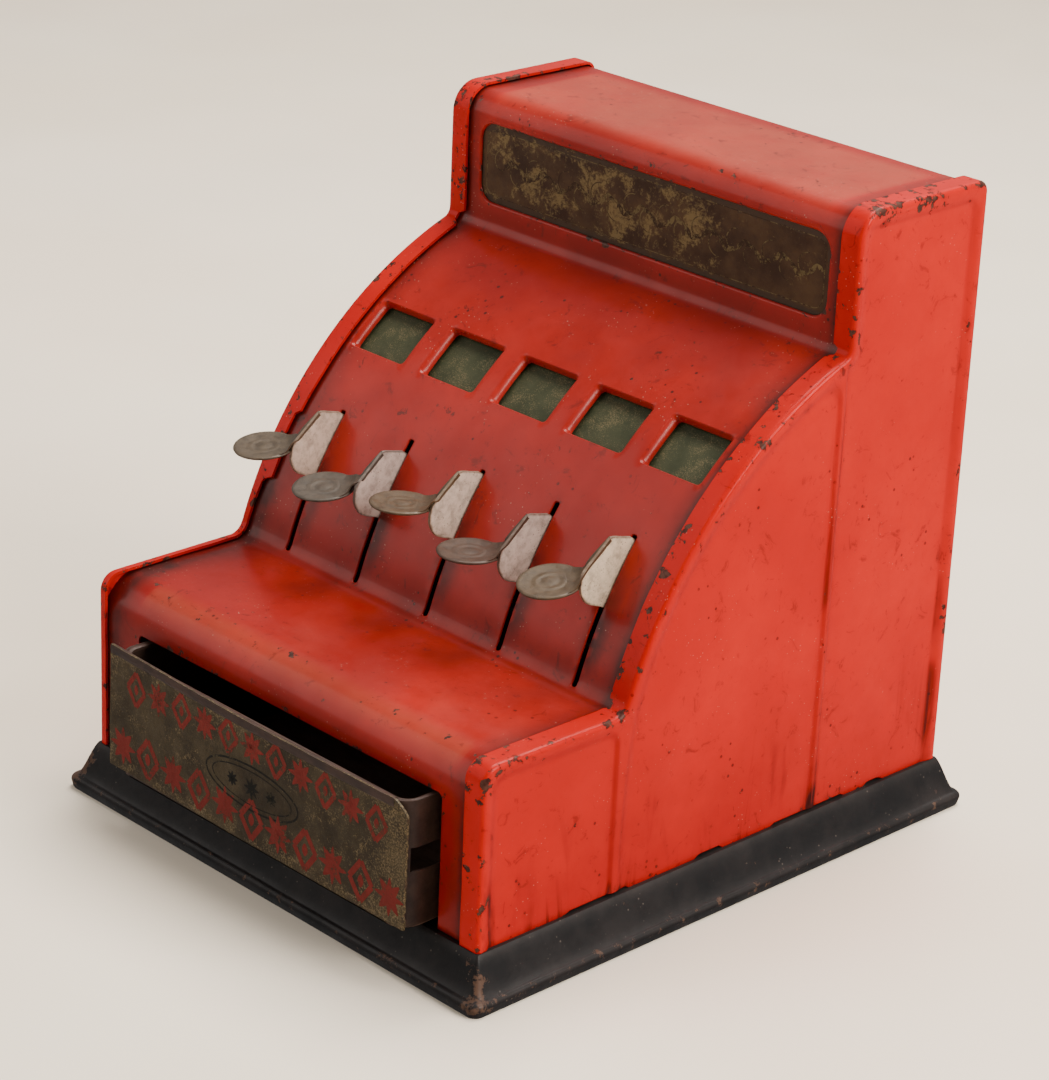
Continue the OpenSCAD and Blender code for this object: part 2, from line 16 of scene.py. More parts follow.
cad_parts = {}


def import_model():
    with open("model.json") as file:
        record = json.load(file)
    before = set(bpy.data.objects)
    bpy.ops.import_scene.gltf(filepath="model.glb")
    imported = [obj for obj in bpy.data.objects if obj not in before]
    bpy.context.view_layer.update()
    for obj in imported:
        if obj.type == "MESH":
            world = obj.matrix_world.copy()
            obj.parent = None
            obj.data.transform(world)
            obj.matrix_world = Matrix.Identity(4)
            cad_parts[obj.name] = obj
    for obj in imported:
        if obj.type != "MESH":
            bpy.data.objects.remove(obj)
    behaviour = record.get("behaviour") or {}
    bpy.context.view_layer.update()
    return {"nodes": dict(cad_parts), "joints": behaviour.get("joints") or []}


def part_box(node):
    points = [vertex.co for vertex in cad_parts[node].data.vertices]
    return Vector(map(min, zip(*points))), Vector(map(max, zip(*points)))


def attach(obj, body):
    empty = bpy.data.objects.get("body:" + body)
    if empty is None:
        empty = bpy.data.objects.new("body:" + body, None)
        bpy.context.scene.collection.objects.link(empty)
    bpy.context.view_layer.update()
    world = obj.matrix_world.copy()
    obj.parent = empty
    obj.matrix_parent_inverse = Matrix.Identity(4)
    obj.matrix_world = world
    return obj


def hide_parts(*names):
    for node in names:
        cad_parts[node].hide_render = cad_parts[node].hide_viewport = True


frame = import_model()

# ---------------------------------------------------------------- driving dimensions

MM = 0.001
panel_low, panel_high = (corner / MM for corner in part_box("right_side"))
ORIGIN = Vector((0, panel_low.y, panel_low.z))
CASE_W = 2 * panel_high.x
CASE_D = panel_high.y - panel_low.y
CASE_H = panel_high.z - panel_low.z
BASE_H = panel_low.z
SHEET = 0.8                 # thickness of the tin
SHELF_H = 45.5
MARQUEE_Y = 111.6
RIM_R = 4.5                 # bend of the side panels at the shelf's front
COVER_R = 11                # bend of the cover there
KNEE_R = 4
CREASE_R = 2.5
TOP_R = 7.5
BACK_R = 3
SWEEP_R = 109.8             # radius of the key panel about the key shaft
COVER_IN = 1.05             # the cover lies this far inside the rims
FLANGE_W = 6
BEND_R = 1.25               # bend between a side panel and its flange
KEY_PITCH = 25.3
KEYS = range(1, 6)
SLOT_W = 1.5
WINDOW_W = 17
WINDOW_SHIFT = -0.75
WINDOW_ANGLES = (46.4, 53.6)
LIP = 1.8                   # depth of a window's turned-in edge
LEVER_ANGLE = 32.55
KEY_DROOP = 1.4             # keys 2 and 4 rest this much lower
KEY_TRAVEL = 9.5
BLADE_HALF = 4.6            # half the angle that a blade fills in its slot
SLOT_ANGLES = (LEVER_ANGLE - BLADE_HALF - KEY_TRAVEL - 0.5, LEVER_ANGLE + BLADE_HALF + 0.5)
LEVER_T = 0.9
PAD_R = 7.9
PAD_ANGLE = -3.6
PAD_PROUD = 10.9
PAD_TILTS = (7, 6, -2, -2, 11)          # how far each pad's top leans forward
PAD_LIFTS = (0.9, 0.6, 2.0, 1.0, -1.0)  # how much higher each pad sits, bent by use
PAD_SHIFTS = (0, -1.2, 0, 0, 0)         # how far to the right each pad sits
SHAFT_R = 1.65
HUB_R = 5
ARM_W = 10
FLAG_ARM_W = 7
FLAG_ARM_ANGLE = 25
FLAG_T = 0.6
LABEL_W = 117
LABEL_H = 20.4
LABEL_Z = CASE_H - TOP_R - 0.6 - LABEL_H / 2
LABEL_R = 4.5
OPENING_W = 108.8
OPENING_H = 33.8
BACK_TURN = 9               # the cover turns down this far over the back plate
SKIRT_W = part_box("base_pan")[1].x / MM - CASE_W / 2

shaft = next(j for j in frame["joints"] if j["name"] == "key_1_press")["pos_m"]
PIVOT = (shaft[1] / MM - ORIGIN.y, shaft[2] / MM - ORIGIN.z)
SWEEP_IN = SWEEP_R - COVER_IN
FLAG_R = SWEEP_IN - SHEET - LIP - 0.5
STEP = 1.2                  # spacing of points along an outline


def row(x, y, z):
    """A point of the case in the row frame, in metres."""
    return (x * MM, (y + ORIGIN.y) * MM, (z + ORIGIN.z) * MM)


def node_box(name):
    """A CAD node's lowest and highest corners in the case's coordinates."""
    low, high = (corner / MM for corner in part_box(name))
    return [(c.x, c.y - ORIGIN.y, c.z - ORIGIN.z) for c in (low, high)]


def key_x(n):
    return (n - 3) * KEY_PITCH


def key_angle(n):
    return LEVER_ANGLE - (KEY_DROOP if n % 2 == 0 else 0)


def smooth(low, high, value):
    """0 below low, 1 above high, with a soft change between."""
    t = np.clip((value - low) / (high - low), 0, 1)
    return t * t * (3 - 2 * t)


# ---------------------------------------------------------------- outlines

def turn(centre, radius, angle):
    return np.array(centre) + radius * np.array((math.cos(angle), math.sin(angle)))


def knee_centre():
    up = SHELF_H + KNEE_R - PIVOT[1]
    return (PIVOT[0] - math.sqrt((SWEEP_R + KNEE_R) ** 2 - up ** 2), SHELF_H + KNEE_R)


def crease_centre():
    across = PIVOT[0] - MARQUEE_Y + CREASE_R
    return (MARQUEE_Y - CREASE_R, PIVOT[1] + math.sqrt((SWEEP_R + CREASE_R) ** 2 - across ** 2))


def bends(front_r):
    """The bends of the case's side outline: centre, radius, 1 where insetting shrinks it, and end angles."""
    knee, crease = knee_centre(), crease_centre()
    knee_a = math.atan2(PIVOT[1] - knee[1], PIVOT[0] - knee[0])
    crease_a = math.atan2(crease[1] - PIVOT[1], crease[0] - PIVOT[0])
    half = math.pi / 2
    return [((front_r, SHELF_H - front_r), front_r, 1, math.pi, half),
            (knee, KNEE_R, -1, -half, knee_a),
            (PIVOT, SWEEP_R, 1, knee_a + math.pi, crease_a),
            (crease, CREASE_R, -1, crease_a - math.pi, 0),
            ((MARQUEE_Y + TOP_R, CASE_H - TOP_R), TOP_R, 1, math.pi, half),
            ((CASE_D - BACK_R, CASE_H - BACK_R), BACK_R, 1, half, 0)]


def outline(inset=0.0, front_r=RIM_R, low=0.0, step=STEP):
    """Points (y, z) up the front, over the top and down the back; their count is the same at every inset."""
    points = [np.array((inset, low))]
    plain = np.array((0.0, low))
    for centre, radius, sign, a0, a1 in bends(front_r):
        start = turn(centre, radius - sign * inset, a0)
        count = max(1, round(np.linalg.norm(turn(centre, radius, a0) - plain) / step))
        last = points[-1]
        points += [last + (start - last) * i / count for i in range(1, count + 1)]
        count = max(7, round(radius * abs(a1 - a0) / step))
        points += [turn(centre, radius - sign * inset, a0 + (a1 - a0) * i / count)
                   for i in range(1, count + 1)]
        plain = turn(centre, radius, a1)
    count = max(1, round((plain[1] - low) / step))
    last, end = points[-1], np.array((CASE_D - inset, low))
    points += [last + (end - last) * i / count for i in range(1, count + 1)]
    return np.array(points)


def rounded(w, h, r, centre=(0.0, 0.0), corner=6):
    """Points round a rectangle with round corners."""
    points = []
    for i, (sx, sy) in enumerate(((1, 1), (-1, 1), (-1, -1), (1, -1))):
        middle = (centre[0] + sx * (w / 2 - r), centre[1] + sy * (h / 2 - r))
        points += [turn(middle, r, math.pi / 2 * (i + k / corner)) for k in range(corner + 1)]
        side = (w if i % 2 == 0 else h) - 2 * r
        count = max(1, round(side / STEP))
        direction = turn((0, 0), 1, math.pi / 2 * (i + 1) + math.pi / 2)
        last = points[-1]
        points += [last + direction * side * k / count for k in range(1, count)]
    return np.array(points)


class Track:
    """The cover's section as a path: at(s) gives y, z and the outward normal at a length along it."""

    def __init__(self):
        points = outline(COVER_IN, COVER_R, step=0.4)
        along = np.gradient(points, axis=0)
        along /= np.linalg.norm(along, axis=1)[:, None]
        self.points = points
        self.normals = np.stack((-along[:, 1], along[:, 0]), axis=1)
        self.s = np.concatenate(([0], np.cumsum(np.linalg.norm(np.diff(points, axis=0), axis=1))))
        self.end = self.s[-1] - (CASE_H - BACK_R - (BACK_TURN - BACK_R))

    def at(self, s):
        y, z = (np.interp(s, self.s, self.points[:, i]) for i in (0, 1))
        ny, nz = (np.interp(s, self.s, self.normals[:, i]) for i in (0, 1))
        return y, z, ny, nz

    def of_angle(self, degrees):
        """Length at an angle up from the level line that runs forward from the key shaft."""
        target = np.array(polar(SWEEP_IN, degrees))
        return self.s[np.argmin(np.linalg.norm(self.points - target, axis=1))]

    def of_marquee(self, z):
        on_face = np.abs(self.points[:, 0] - MARQUEE_Y - COVER_IN) < 0.01
        return np.interp(z, self.points[on_face, 1], self.s[on_face])

    def lines(self, spacing=1.8, bend=7.0):
        """Lengths to put rows of points at: close together where the sheet is bent."""
        heading = np.unwrap(np.arctan2(self.normals[:, 1], self.normals[:, 0]))
        rows, length, angle = [], 0.0, 0.0
        for i in range(1, len(self.s)):
            length += self.s[i] - self.s[i - 1]
            angle += abs(math.degrees(heading[i] - heading[i - 1]))
            if length > spacing or angle > bend:
                rows.append(self.s[i])
                length, angle = 0.0, 0.0
        return np.array(rows)


def polar(radius, degrees):
    a = math.radians(degrees)
    return (PIVOT[0] - radius * math.cos(a), PIVOT[1] + radius * math.sin(a))


# ---------------------------------------------------------------- meshes

def inside(points, ring):
    """Which points lie inside a closed ring."""
    x, y = points[:, 0:1], points[:, 1:2]
    x0, y0 = ring[:, 0], ring[:, 1]
    x1, y1 = np.roll(x0, -1), np.roll(y0, -1)
    crosses = (y0 > y) != (y1 > y)
    with np.errstate(divide="ignore", invalid="ignore"):
        cut = x0 + (y - y0) * (x1 - x0) / (y1 - y0)
    return (np.sum(crosses & (x < cut), axis=1) % 2) == 1


def nearest(points, ring):
    """For each point, the number of the nearest point of a ring, and the distance to it."""
    tree = kdtree.KDTree(len(ring))
    for i, p in enumerate(ring):
        tree.insert((p[0], p[1], 0), i)
    tree.balance()
    found = [tree.find((p[0], p[1], 0))[1:] for p in points]
    return np.array([i for i, _ in found], int), np.array([distance for _, distance in found])


def rim_distance(points, ring):
    return nearest(points, ring)[1]


def fill(rings, holes=(), grid=None, margin=0.7):
    """Triangulates the union of rings without the holes, using the grid points that lie well inside."""
    points, edges, faces = [], [], []
    for ring in list(rings) + list(holes):
        numbers = list(range(len(points), len(points) + len(ring)))
        points += [tuple(p) for p in ring]
        if len(faces) < len(rings):
            faces.append(numbers)
        else:
            edges += list(zip(numbers, numbers[1:] + numbers[:1]))
    if grid is not None:
        keep = np.any([inside(grid, np.array(r)) for r in rings], axis=0)
        for hole in holes:
            keep &= ~inside(grid, np.array(hole))
        grid = grid[keep]
        points += [tuple(p) for p in grid[rim_distance(grid, points) > margin]]
    verts, _, tris, *_ = delaunay_2d_cdt([Vector(p) for p in points], edges, faces, 1, 1e-5)
    verts = np.array([tuple(v) for v in verts])
    tris = np.array([t for t in tris if len(t) == 3])
    middle = verts[tris].mean(axis=1)
    for hole in holes:
        out = ~inside(middle, np.array(hole))
        tris, middle = tris[out], middle[out]
    return verts, tris


class Shape:
    """A mesh under construction: points in millimetres, faces, and a wear and a grime value at each point. On
    the red enamel the grime value also carries painted shade and painted shadow, and below zero dust with
    painted sheen.
    """

    def __init__(self):
        self.points, self.faces, self.wear, self.grime = [], [], [], []

    def add(self, points, faces, wear=0.0, grime=0.0):
        start = len(self.points)
        self.points += [tuple(p) for p in points]
        self.faces += [[start + int(i) for i in f] for f in faces]
        count = len(points)
        self.wear += list(np.broadcast_to(np.asarray(wear, float), count))
        self.grime += list(np.broadcast_to(np.asarray(grime, float), count))

    def strip(self, rows, wear=0.0, grime=0.0, closed=False):
        """Joins rows of points, each with the same count, with quads. Wear may be one value for each row."""
        rows = np.array(rows, float)
        n_rows, n = rows.shape[:2]
        faces = []
        for r in range(n_rows - 1):
            for i in range(n if closed else n - 1):
                j = (i + 1) % n
                faces.append([r * n + i, r * n + j, (r + 1) * n + j, (r + 1) * n + i])
        wear = np.asarray(wear, float)
        spread = np.repeat(wear, n) if wear.ndim == 1 else np.broadcast_to(wear, (n_rows, n))
        self.add(rows.reshape(-1, 3), faces, np.ravel(spread), grime)

    def build(self, name, material, body, slot, replaced=(), thickness=0.0, flat=35, front=None, keep=False):
        """Makes the object: merged, thickened away from its front, sharp edges marked, riding on its body."""
        mesh = bpy.data.meshes.new(name)
        mesh.from_pydata([row(*p) for p in self.points], [], self.faces)
        for label, values in (("wear", self.wear), ("grime", self.grime)):
            mesh.attributes.new(label, "FLOAT", "POINT").data.foreach_set("value", values)
        bm = bmesh.new()
        bm.from_mesh(mesh)
        bmesh.ops.remove_doubles(bm, verts=bm.verts, dist=2e-6)
        if not keep:
            bmesh.ops.recalc_face_normals(bm, faces=bm.faces)
        if front and sum((f.normal * f.calc_area() for f in bm.faces), Vector()).dot(Vector(front)) < 0:
            bmesh.ops.reverse_faces(bm, faces=bm.faces)
        bm.to_mesh(mesh)
        bm.free()
        obj = bpy.data.objects.new(name, mesh)
        bpy.context.scene.collection.objects.link(obj)
        if thickness:
            solid = obj.modifiers.new("sheet", "SOLIDIFY")
            solid.thickness = thickness * MM
            solid.offset = -1
            solid.use_even_offset = True
            made = bpy.data.meshes.new_from_object(obj.evaluated_get(bpy.context.evaluated_depsgraph_get()))
            obj.modifiers.clear()
            obj.data = made
        obj.data.shade_smooth()
        obj.data.set_sharp_from_angle(angle=math.radians(flat))
        obj.data.materials.clear()
        obj.data.materials.append(material)
        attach(obj, body)
        if replaced:
            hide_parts(*replaced)
        return obj


def dents(points, size, depth, seed):
    """Slow hand-made unevenness at each point, from -depth to depth."""
    return np.array([depth * noise.noise(Vector((p[0] / size + seed, p[1] / size, seed))) for p in points])


def grid_points(xs, ys):
    return np.array(np.meshgrid(xs, ys)).reshape(2, -1).T


# ---------------------------------------------------------------- materials

class Paint:
    """Builds a procedural material; its methods add nodes and return their outputs."""

    def __init__(self, name, **constants):
        self.material = bpy.data.materials.new(name)
        self.material.use_nodes = True
        self.tree = self.material.node_tree
        self.shader = self.tree.nodes["Principled BSDF"]
        self.place = self.node("ShaderNodeTexCoord").outputs["Object"]
        for label, value in constants.items():
            self.shader.inputs[label.replace("_", " ")].default_value = value

    def node(self, kind, settings=(), **inputs):
        made = self.tree.nodes.new(kind)
        for label, value in dict(settings).items():
            setattr(made, label, value)
        for label, value in inputs.items():
            self.link(value, made.inputs[int(label[1:]) if label[1:].isdigit() else label.replace("_", " ")])
        return made

    def link(self, value, socket):
        if isinstance(value, bpy.types.NodeSocket):
            self.tree.links.new(value, socket)
        else:
            socket.default_value = value

    def stretch(self, scale):
        """Coordinates scaled unevenly, for streaks."""
        return self.node("ShaderNodeMapping", Vector=self.place, Scale=scale).outputs[0]

    def noise(self, size, detail=4.0, rough=0.55, place=None, warp=0.0):
        """Noise whose features are about size millimetres."""
        return self.node("ShaderNodeTexNoise", Vector=place or self.place, Scale=1 / (size * MM),
                         Detail=detail, Roughness=rough, Distortion=warp).outputs[0]

    def cells(self, size):
        """Distance to the nearest of scattered points, about size millimetres apart."""
        return self.node("ShaderNodeTexVoronoi", Vector=self.place, Scale=1 / (size * MM)).outputs[0]

    def value(self, label):
        return self.node("ShaderNodeAttribute", {"attribute_name": label}).outputs["Fac"]

    def ramp(self, value, low, high, to_low=0.0, to_high=1.0):
        return self.node("ShaderNodeMapRange", {"interpolation_type": "SMOOTHSTEP"}, Value=value,
                         From_Min=low, From_Max=high, To_Min=to_low, To_Max=to_high).outputs[0]

    def math(self, operation, a, b):
        return self.node("ShaderNodeMath", {"operation": operation}, _0=a, _1=b).outputs[0]

    def times(self, a, b):
        return self.math("MULTIPLY", a, b)

    def plus(self, a, b):
        return self.math("ADD", a, b)

    def specks(self, spacing, small, large, clusters, low, high):
        """Scattered specks, only where the noise that clusters describes is high."""
        return self.times(self.ramp(self.cells(spacing), small, large, 1, 0),
                          self.ramp(self.noise(*clusters), low, high))

    def mix(self, share, a, b):
        """Mixes two colours; each is a socket or three numbers."""
        made = self.tree.nodes.new("ShaderNodeMix")
        made.data_type = "RGBA"
        self.link(share, made.inputs[0])
        for value, socket in ((a, made.inputs[6]), (b, made.inputs[7])):
            self.link(value if isinstance(value, bpy.types.NodeSocket) else (*value, 1), socket)
        return made.outputs[2]

    def finish(self, colour, roughness=None, height=None, distance=0.05, metallic=None):
        self.link(colour, self.shader.inputs["Base Color"])
        if roughness is not None:
            self.link(roughness, self.shader.inputs["Roughness"])
        if metallic is not None:
            self.link(metallic, self.shader.inputs["Metallic"])
        if height is not None:
            bump = self.node("ShaderNodeBump", Height=height, Distance=distance * MM)
            self.link(bump.outputs[0], self.shader.inputs["Normal"])
        return self.material


def red_enamel(name, bright, deep, coat, streaks=0.0, tint=(1.0, 0.55, 0.5)):
    """Old semi-gloss red enamel: uneven depth, grime with painted shade and painted shadow, dust with painted
    sheen, smudges, and chips down to dark metal.
    """
    p = Paint(name, Specular_IOR_Level=0.28, Specular_Tint=(*tint, 1.0), Coat_Weight=coat,
              Coat_Roughness=0.16)
    # The grime attribute: dirt with painted shade and painted shadow above zero, dust with painted sheen
    # below zero.
    grime_shade_and_sheen = p.value("grime")
    depth = p.ramp(p.noise(38, 3, 0.5), 0.3, 0.72)
    colour = p.mix(depth, bright, deep)
    mottle = p.ramp(p.noise(6, 6, 0.68), 0.35, 0.72, 0, 0.45)
    colour = p.mix(mottle, colour, deep)
    # Pale pink veil where the grime attribute is below zero: dust, and painted sheen on the top and along the
    # shelf's front bend.
    dust_and_sheen = p.times(p.ramp(grime_shade_and_sheen, 0.0, -1.0), p.ramp(p.noise(12, 5, 0.6), 0.25, 0.7, 0.6, 1.0))
    colour = p.mix(dust_and_sheen, colour, (0.62, 0.20, 0.10))
    # Dark mix where the grime attribute is above zero: dirt, painted shadow under the keys, painted shade
    # under the flanges, in the bends and along the side panels' pressed lines, and darker towards the side
    # panels' bottom.
    grime = p.times(grime_shade_and_sheen, p.ramp(p.noise(9, 5, 0.6), 0.2, 0.75, 0.55, 1.1))
    if streaks:
        running = p.ramp(p.noise(11, 4, 0.6, p.stretch((1, 1, 0.16)), 1.6), 0.50, 0.66)
        patch = p.ramp(p.noise(30, 3, 0.5), 0.46, 0.58)
        run = p.times(p.times(grime_shade_and_sheen, running), patch)
        grime = p.plus(p.times(grime, 0.40), p.times(run, streaks))
    colour = p.mix(grime, colour, (0.030, 0.004, 0.003))
    smudge = p.ramp(p.noise(6, 7, 0.72, warp=1.4), 0.575, 0.67, 0, 0.50)
    colour = p.mix(smudge, colour, (0.060, 0.006, 0.004))
    scuff = p.times(p.ramp(p.noise(2.6, 6, 0.7, p.stretch((1, 1, 0.6)), 0.8), 0.60, 0.66),
                   p.ramp(p.noise(17, 3, 0.5), 0.56, 0.62))
    colour = p.mix(p.times(scuff, 0.75), colour, (0.040, 0.008, 0.005))
    speck = p.specks(2.6, 0.13, 0.20, (14, 4, 0.6), 0.555, 0.63)
    colour = p.mix(p.times(speck, 0.85), colour, (0.022, 0.006, 0.005))
    dust = p.specks(1.3, 0.08, 0.14, (13, 4, 0.6), 0.50, 0.62)
    colour = p.mix(p.times(dust, 0.45), colour, (0.50, 0.30, 0.22))
    ragged = p.plus(p.times(p.noise(2.6, 6, 0.60), 0.72), p.times(p.noise(9, 3, 0.5), 0.28))
    level = p.plus(ragged, p.times(p.value("wear"), 0.30))
    chip = p.ramp(level, 0.682, 0.697)
    bare = p.mix(p.ramp(p.noise(1.6, 4, 0.6), 0.35, 0.65), (0.022, 0.009, 0.007), (0.075, 0.035, 0.024))
    colour = p.mix(chip, colour, bare)
    rough = p.ramp(p.noise(9, 6, 0.7), 0.3, 0.75, 0.30, 0.50)
    rough = p.plus(rough, p.times(chip, 0.25))
    peel = p.times(p.noise(1.4, 3, 0.5), 0.22)
    wave = p.times(p.noise(8, 2, 0.5), 0.9)
    height = p.math("SUBTRACT", p.plus(peel, wave), p.times(chip, 0.9))
    return p.finish(colour, rough, height, 0.09)


def black_enamel():
    """Old satin black enamel: specks, dust, and edges worn brown."""
    p = Paint("black_enamel", Specular_IOR_Level=0.15, Coat_Weight=0.10, Coat_Roughness=0.25)
    colour = p.mix(p.ramp(p.noise(14, 5, 0.65), 0.3, 0.75), (0.005, 0.0045, 0.005), (0.015, 0.012, 0.012))
    speck = p.specks(1.7, 0.08, 0.16, (12, 4, 0.6), 0.50, 0.60)
    colour = p.mix(p.times(speck, 0.45), colour, (0.16, 0.13, 0.11))
    level = p.plus(p.noise(3.0, 7, 0.7), p.times(p.value("wear"), 0.27))
    worn = p.ramp(level, 0.66, 0.72)
    colour = p.mix(worn, colour, p.mix(p.noise(1.5, 3, 0.6), (0.035, 0.016, 0.010), (0.10, 0.055, 0.036)))
    dust = p.times(p.value("grime"), p.ramp(p.noise(6, 5, 0.65), 0.3, 0.7, 0.1, 0.5))
    colour = p.mix(dust, colour, (0.055, 0.040, 0.034))
    rough = p.ramp(p.noise(8, 6, 0.7), 0.3, 0.75, 0.42, 0.64)
    height = p.math("SUBTRACT", p.noise(2.2, 5, 0.6), p.times(worn, 0.5))
    return p.finish(colour, rough, height, 0.10)


def key_metal(name, pale, stain, stained, shine):
    """Old tinned steel: a mottled bloom, brown stains, pits, and darker edges."""
    p = Paint(name, Specular_IOR_Level=0.5)
    bloom = p.ramp(p.noise(2.4, 6, 0.7), 0.30, 0.62)
    colour = p.mix(bloom, [c * 0.58 for c in pale], pale)
    blotch = p.ramp(p.noise(5.5, 5, 0.65, warp=0.8), 0.66 - stained * 0.2, 0.80 - stained * 0.2)
    colour = p.mix(blotch, colour, stain)
    edge = p.plus(p.value("wear"), p.times(p.noise(1.8, 5, 0.65), 0.7))
    edge = p.ramp(edge, 0.72, 1.15)
    colour = p.mix(p.times(edge, 0.85), colour, [c * 0.8 for c in stain])
    pits = p.specks(0.8, 0.14, 0.24, (4, 4, 0.6), 0.47, 0.57)
    colour = p.mix(p.times(pits, 0.6), colour, (0.07, 0.045, 0.03))
    bare = p.ramp(p.noise(3.1, 5, 0.6), 0.3, 0.7, shine, shine * 0.4)
    rough = p.ramp(p.noise(2.5, 5, 0.65), 0.3, 0.7, 0.36, 0.60)
    height = p.math("SUBTRACT", p.noise(1.2, 5, 0.65), pits)
    return p.finish(colour, rough, height, 0.05, bare)


def speckled(name, ground, shade, fleck, amount, size=0.8, edge=(0.05, 0.03, 0.02)):
    """Printed tin whose gilt print has worn to flecks over a dark ground."""
    p = Paint(name, Specular_IOR_Level=0.18)
    colour = p.mix(p.ramp(p.noise(10, 5, 0.6), 0.3, 0.7), ground, shade)
    cloud = p.ramp(p.plus(p.noise(7, 5, 0.7, warp=0.7), p.value("grime")), 0.38, 0.75, 0, amount)
    grain = p.noise(size, 6, 0.75)
    fine = p.ramp(p.plus(grain, p.times(cloud, 0.34)), 0.60, 0.80)
    colour = p.mix(p.times(fine, 0.85), colour, fleck)
    level = p.plus(p.noise(2.6, 6, 0.7), p.times(p.value("wear"), 0.35))
    colour = p.mix(p.ramp(level, 0.70, 0.80), colour, edge)
    rough = p.ramp(p.noise(3, 6, 0.7), 0.3, 0.75, 0.42, 0.66)
    return p.finish(colour, rough, p.plus(grain, p.noise(5, 2)), 0.05, p.times(fine, 0.25))


def worn_print(name, ink, under, cover=0.5):
    """Ink of a printed ornament, rubbed away in patches."""
    p = Paint(name, Specular_IOR_Level=0.18)
    level = p.plus(p.times(p.noise(0.9, 6, 0.75), 0.6), p.times(p.noise(6, 4, 0.6), 0.4))
    gone = p.ramp(level, cover, cover + 0.07)
    colour = p.mix(gone, p.mix(p.noise(3, 4), ink, [c * 0.6 for c in ink]), under)
    return p.finish(colour, p.ramp(level, 0.3, 0.7, 0.45, 0.65), level, 0.04)


def metal(name, light, dark, rust, rusting=0.0, rough=(0.32, 0.55), shine=0.85):
    """Plain or plated metal, tarnished and a little rusty."""
    p = Paint(name, Specular_IOR_Level=0.5)
    colour = p.mix(p.ramp(p.noise(6, 6, 0.65), 0.3, 0.7), light, dark)
    rusty = p.ramp(p.noise(3.2, 7, 0.7, warp=0.6), 0.66 - rusting, 0.78 - rusting)
    colour = p.mix(rusty, colour, rust)
    brushed = p.noise(0.9, 4, 0.6, p.stretch((0.15, 1, 1)))
    roughness = p.plus(p.ramp(brushed, 0.3, 0.7, *rough), p.times(rusty, 0.2))
    height = p.plus(p.times(brushed, 0.4), rusty)
    return p.finish(colour, roughness, height, 0.04, p.ramp(rusty, 0, 1, shine, 0.1))


def floor_paint():
    """Pale, almost even paint for the floor."""
    p = Paint("floor_paint", Specular_IOR_Level=0.3)
    colour = p.mix(p.ramp(p.noise(160, 4, 0.5), 0.3, 0.7), (0.93, 0.80, 0.64), (0.95, 0.84, 0.69))
    return p.finish(colour, p.ramp(p.noise(60, 4), 0.3, 0.7, 0.42, 0.55), p.noise(30, 3), 0.02)


# One red enamel in copies: the side panels' copy is lighter, painted light, and the cover's copy is darker,
# painted shade.
ENAMEL_SIDE_LIT = red_enamel("enamel_side_lit", (0.46, 0.006, 0.003), (0.37, 0.004, 0.002), 0.10, 0.85,
                         (1.0, 0.15, 0.15))
ENAMEL_COVER_SHADED = red_enamel("enamel_cover_shaded", (0.335, 0.010, 0.005), (0.215, 0.005, 0.003), 0.20)
ENAMEL_BACK = red_enamel("enamel_back", (0.38, 0.008, 0.004), (0.25, 0.004, 0.003), 0.15, 1.0)
BLACK = black_enamel()
TIN = metal("brown_tin", (0.052, 0.025, 0.017), (0.027, 0.013, 0.009), (0.10, 0.045, 0.022),
            0.03, (0.4, 0.6), 0.2)
TIN_INSIDE = metal("brown_tin_inside", (0.12, 0.066, 0.044), (0.07, 0.036, 0.024), (0.10, 0.045, 0.022),
                   0.05, (0.5, 0.7), 0.1)
STEEL = metal("dull_steel", (0.50, 0.48, 0.44), (0.32, 0.30, 0.27), (0.16, 0.07, 0.03), 0.02)
DARK_STEEL = metal("dark_steel", (0.20, 0.18, 0.16), (0.11, 0.10, 0.09), (0.13, 0.055, 0.025), 0.06)
BRASS = metal("tarnished_brass", (0.60, 0.42, 0.17), (0.34, 0.22, 0.09), (0.09, 0.06, 0.03), 0.0)
FLAG = speckled("flag_green", (0.025, 0.031, 0.014), (0.046, 0.049, 0.024), (0.20, 0.155, 0.080), 0.46, 0.30)
LABEL = speckled("label_print", (0.034, 0.016, 0.009), (0.075, 0.040, 0.019), (0.185, 0.130, 0.058),
                 0.78, 0.9)
DRAWER = speckled("drawer_print", (0.026, 0.018, 0.010), (0.050, 0.037, 0.020), (0.20, 0.145, 0.075),
                  0.45, 0.45)
RED_INK = worn_print("red_ink", (0.165, 0.013, 0.009), (0.040, 0.026, 0.014), 0.54)
DARK_INK = worn_print("dark_ink", (0.010, 0.009, 0.006), (0.050, 0.040, 0.022), 0.54)
GILT_INK = worn_print("gilt_ink", (0.150, 0.105, 0.045), (0.035, 0.018, 0.009), 0.455)
NUMBER_INK = worn_print("number_ink", (0.44, 0.38, 0.26), (0.06, 0.07, 0.04), 0.62)

# ---------------------------------------------------------------- side panels

FIELD_DEPTH = 0.50          # how deep the panel's fields are pressed in
FIELD_EDGE = 0.9            # width of a field's soft edge
# The fields' front, back, bottom, top and corner radius. Below, they run past the base.
SHELF_FIELD = (3.6, 41.4, -9, SHELF_H - 3.6, 3)
SWEEP_FIELD = (43.4, 109.4, -9, CASE_H, 2)
TOWER_FIELD = (111.2, 152.6, -9, CASE_H - 4.2, 3)
SWEEP_MARGIN = 3.6          # between the key panel's arc and the field beside it


def box_distance(y, z, y0, y1, z0, z1, r):
    """Distance outside a rectangle with round corners; negative inside."""
    dy = np.abs(y - (y0 + y1) / 2) - (y1 - y0) / 2 + r
    dz = np.abs(z - (z0 + z1) / 2) - (z1 - z0) / 2 + r
    return np.hypot(np.maximum(dy, 0), np.maximum(dz, 0)) + np.minimum(np.maximum(dy, dz), 0) - r


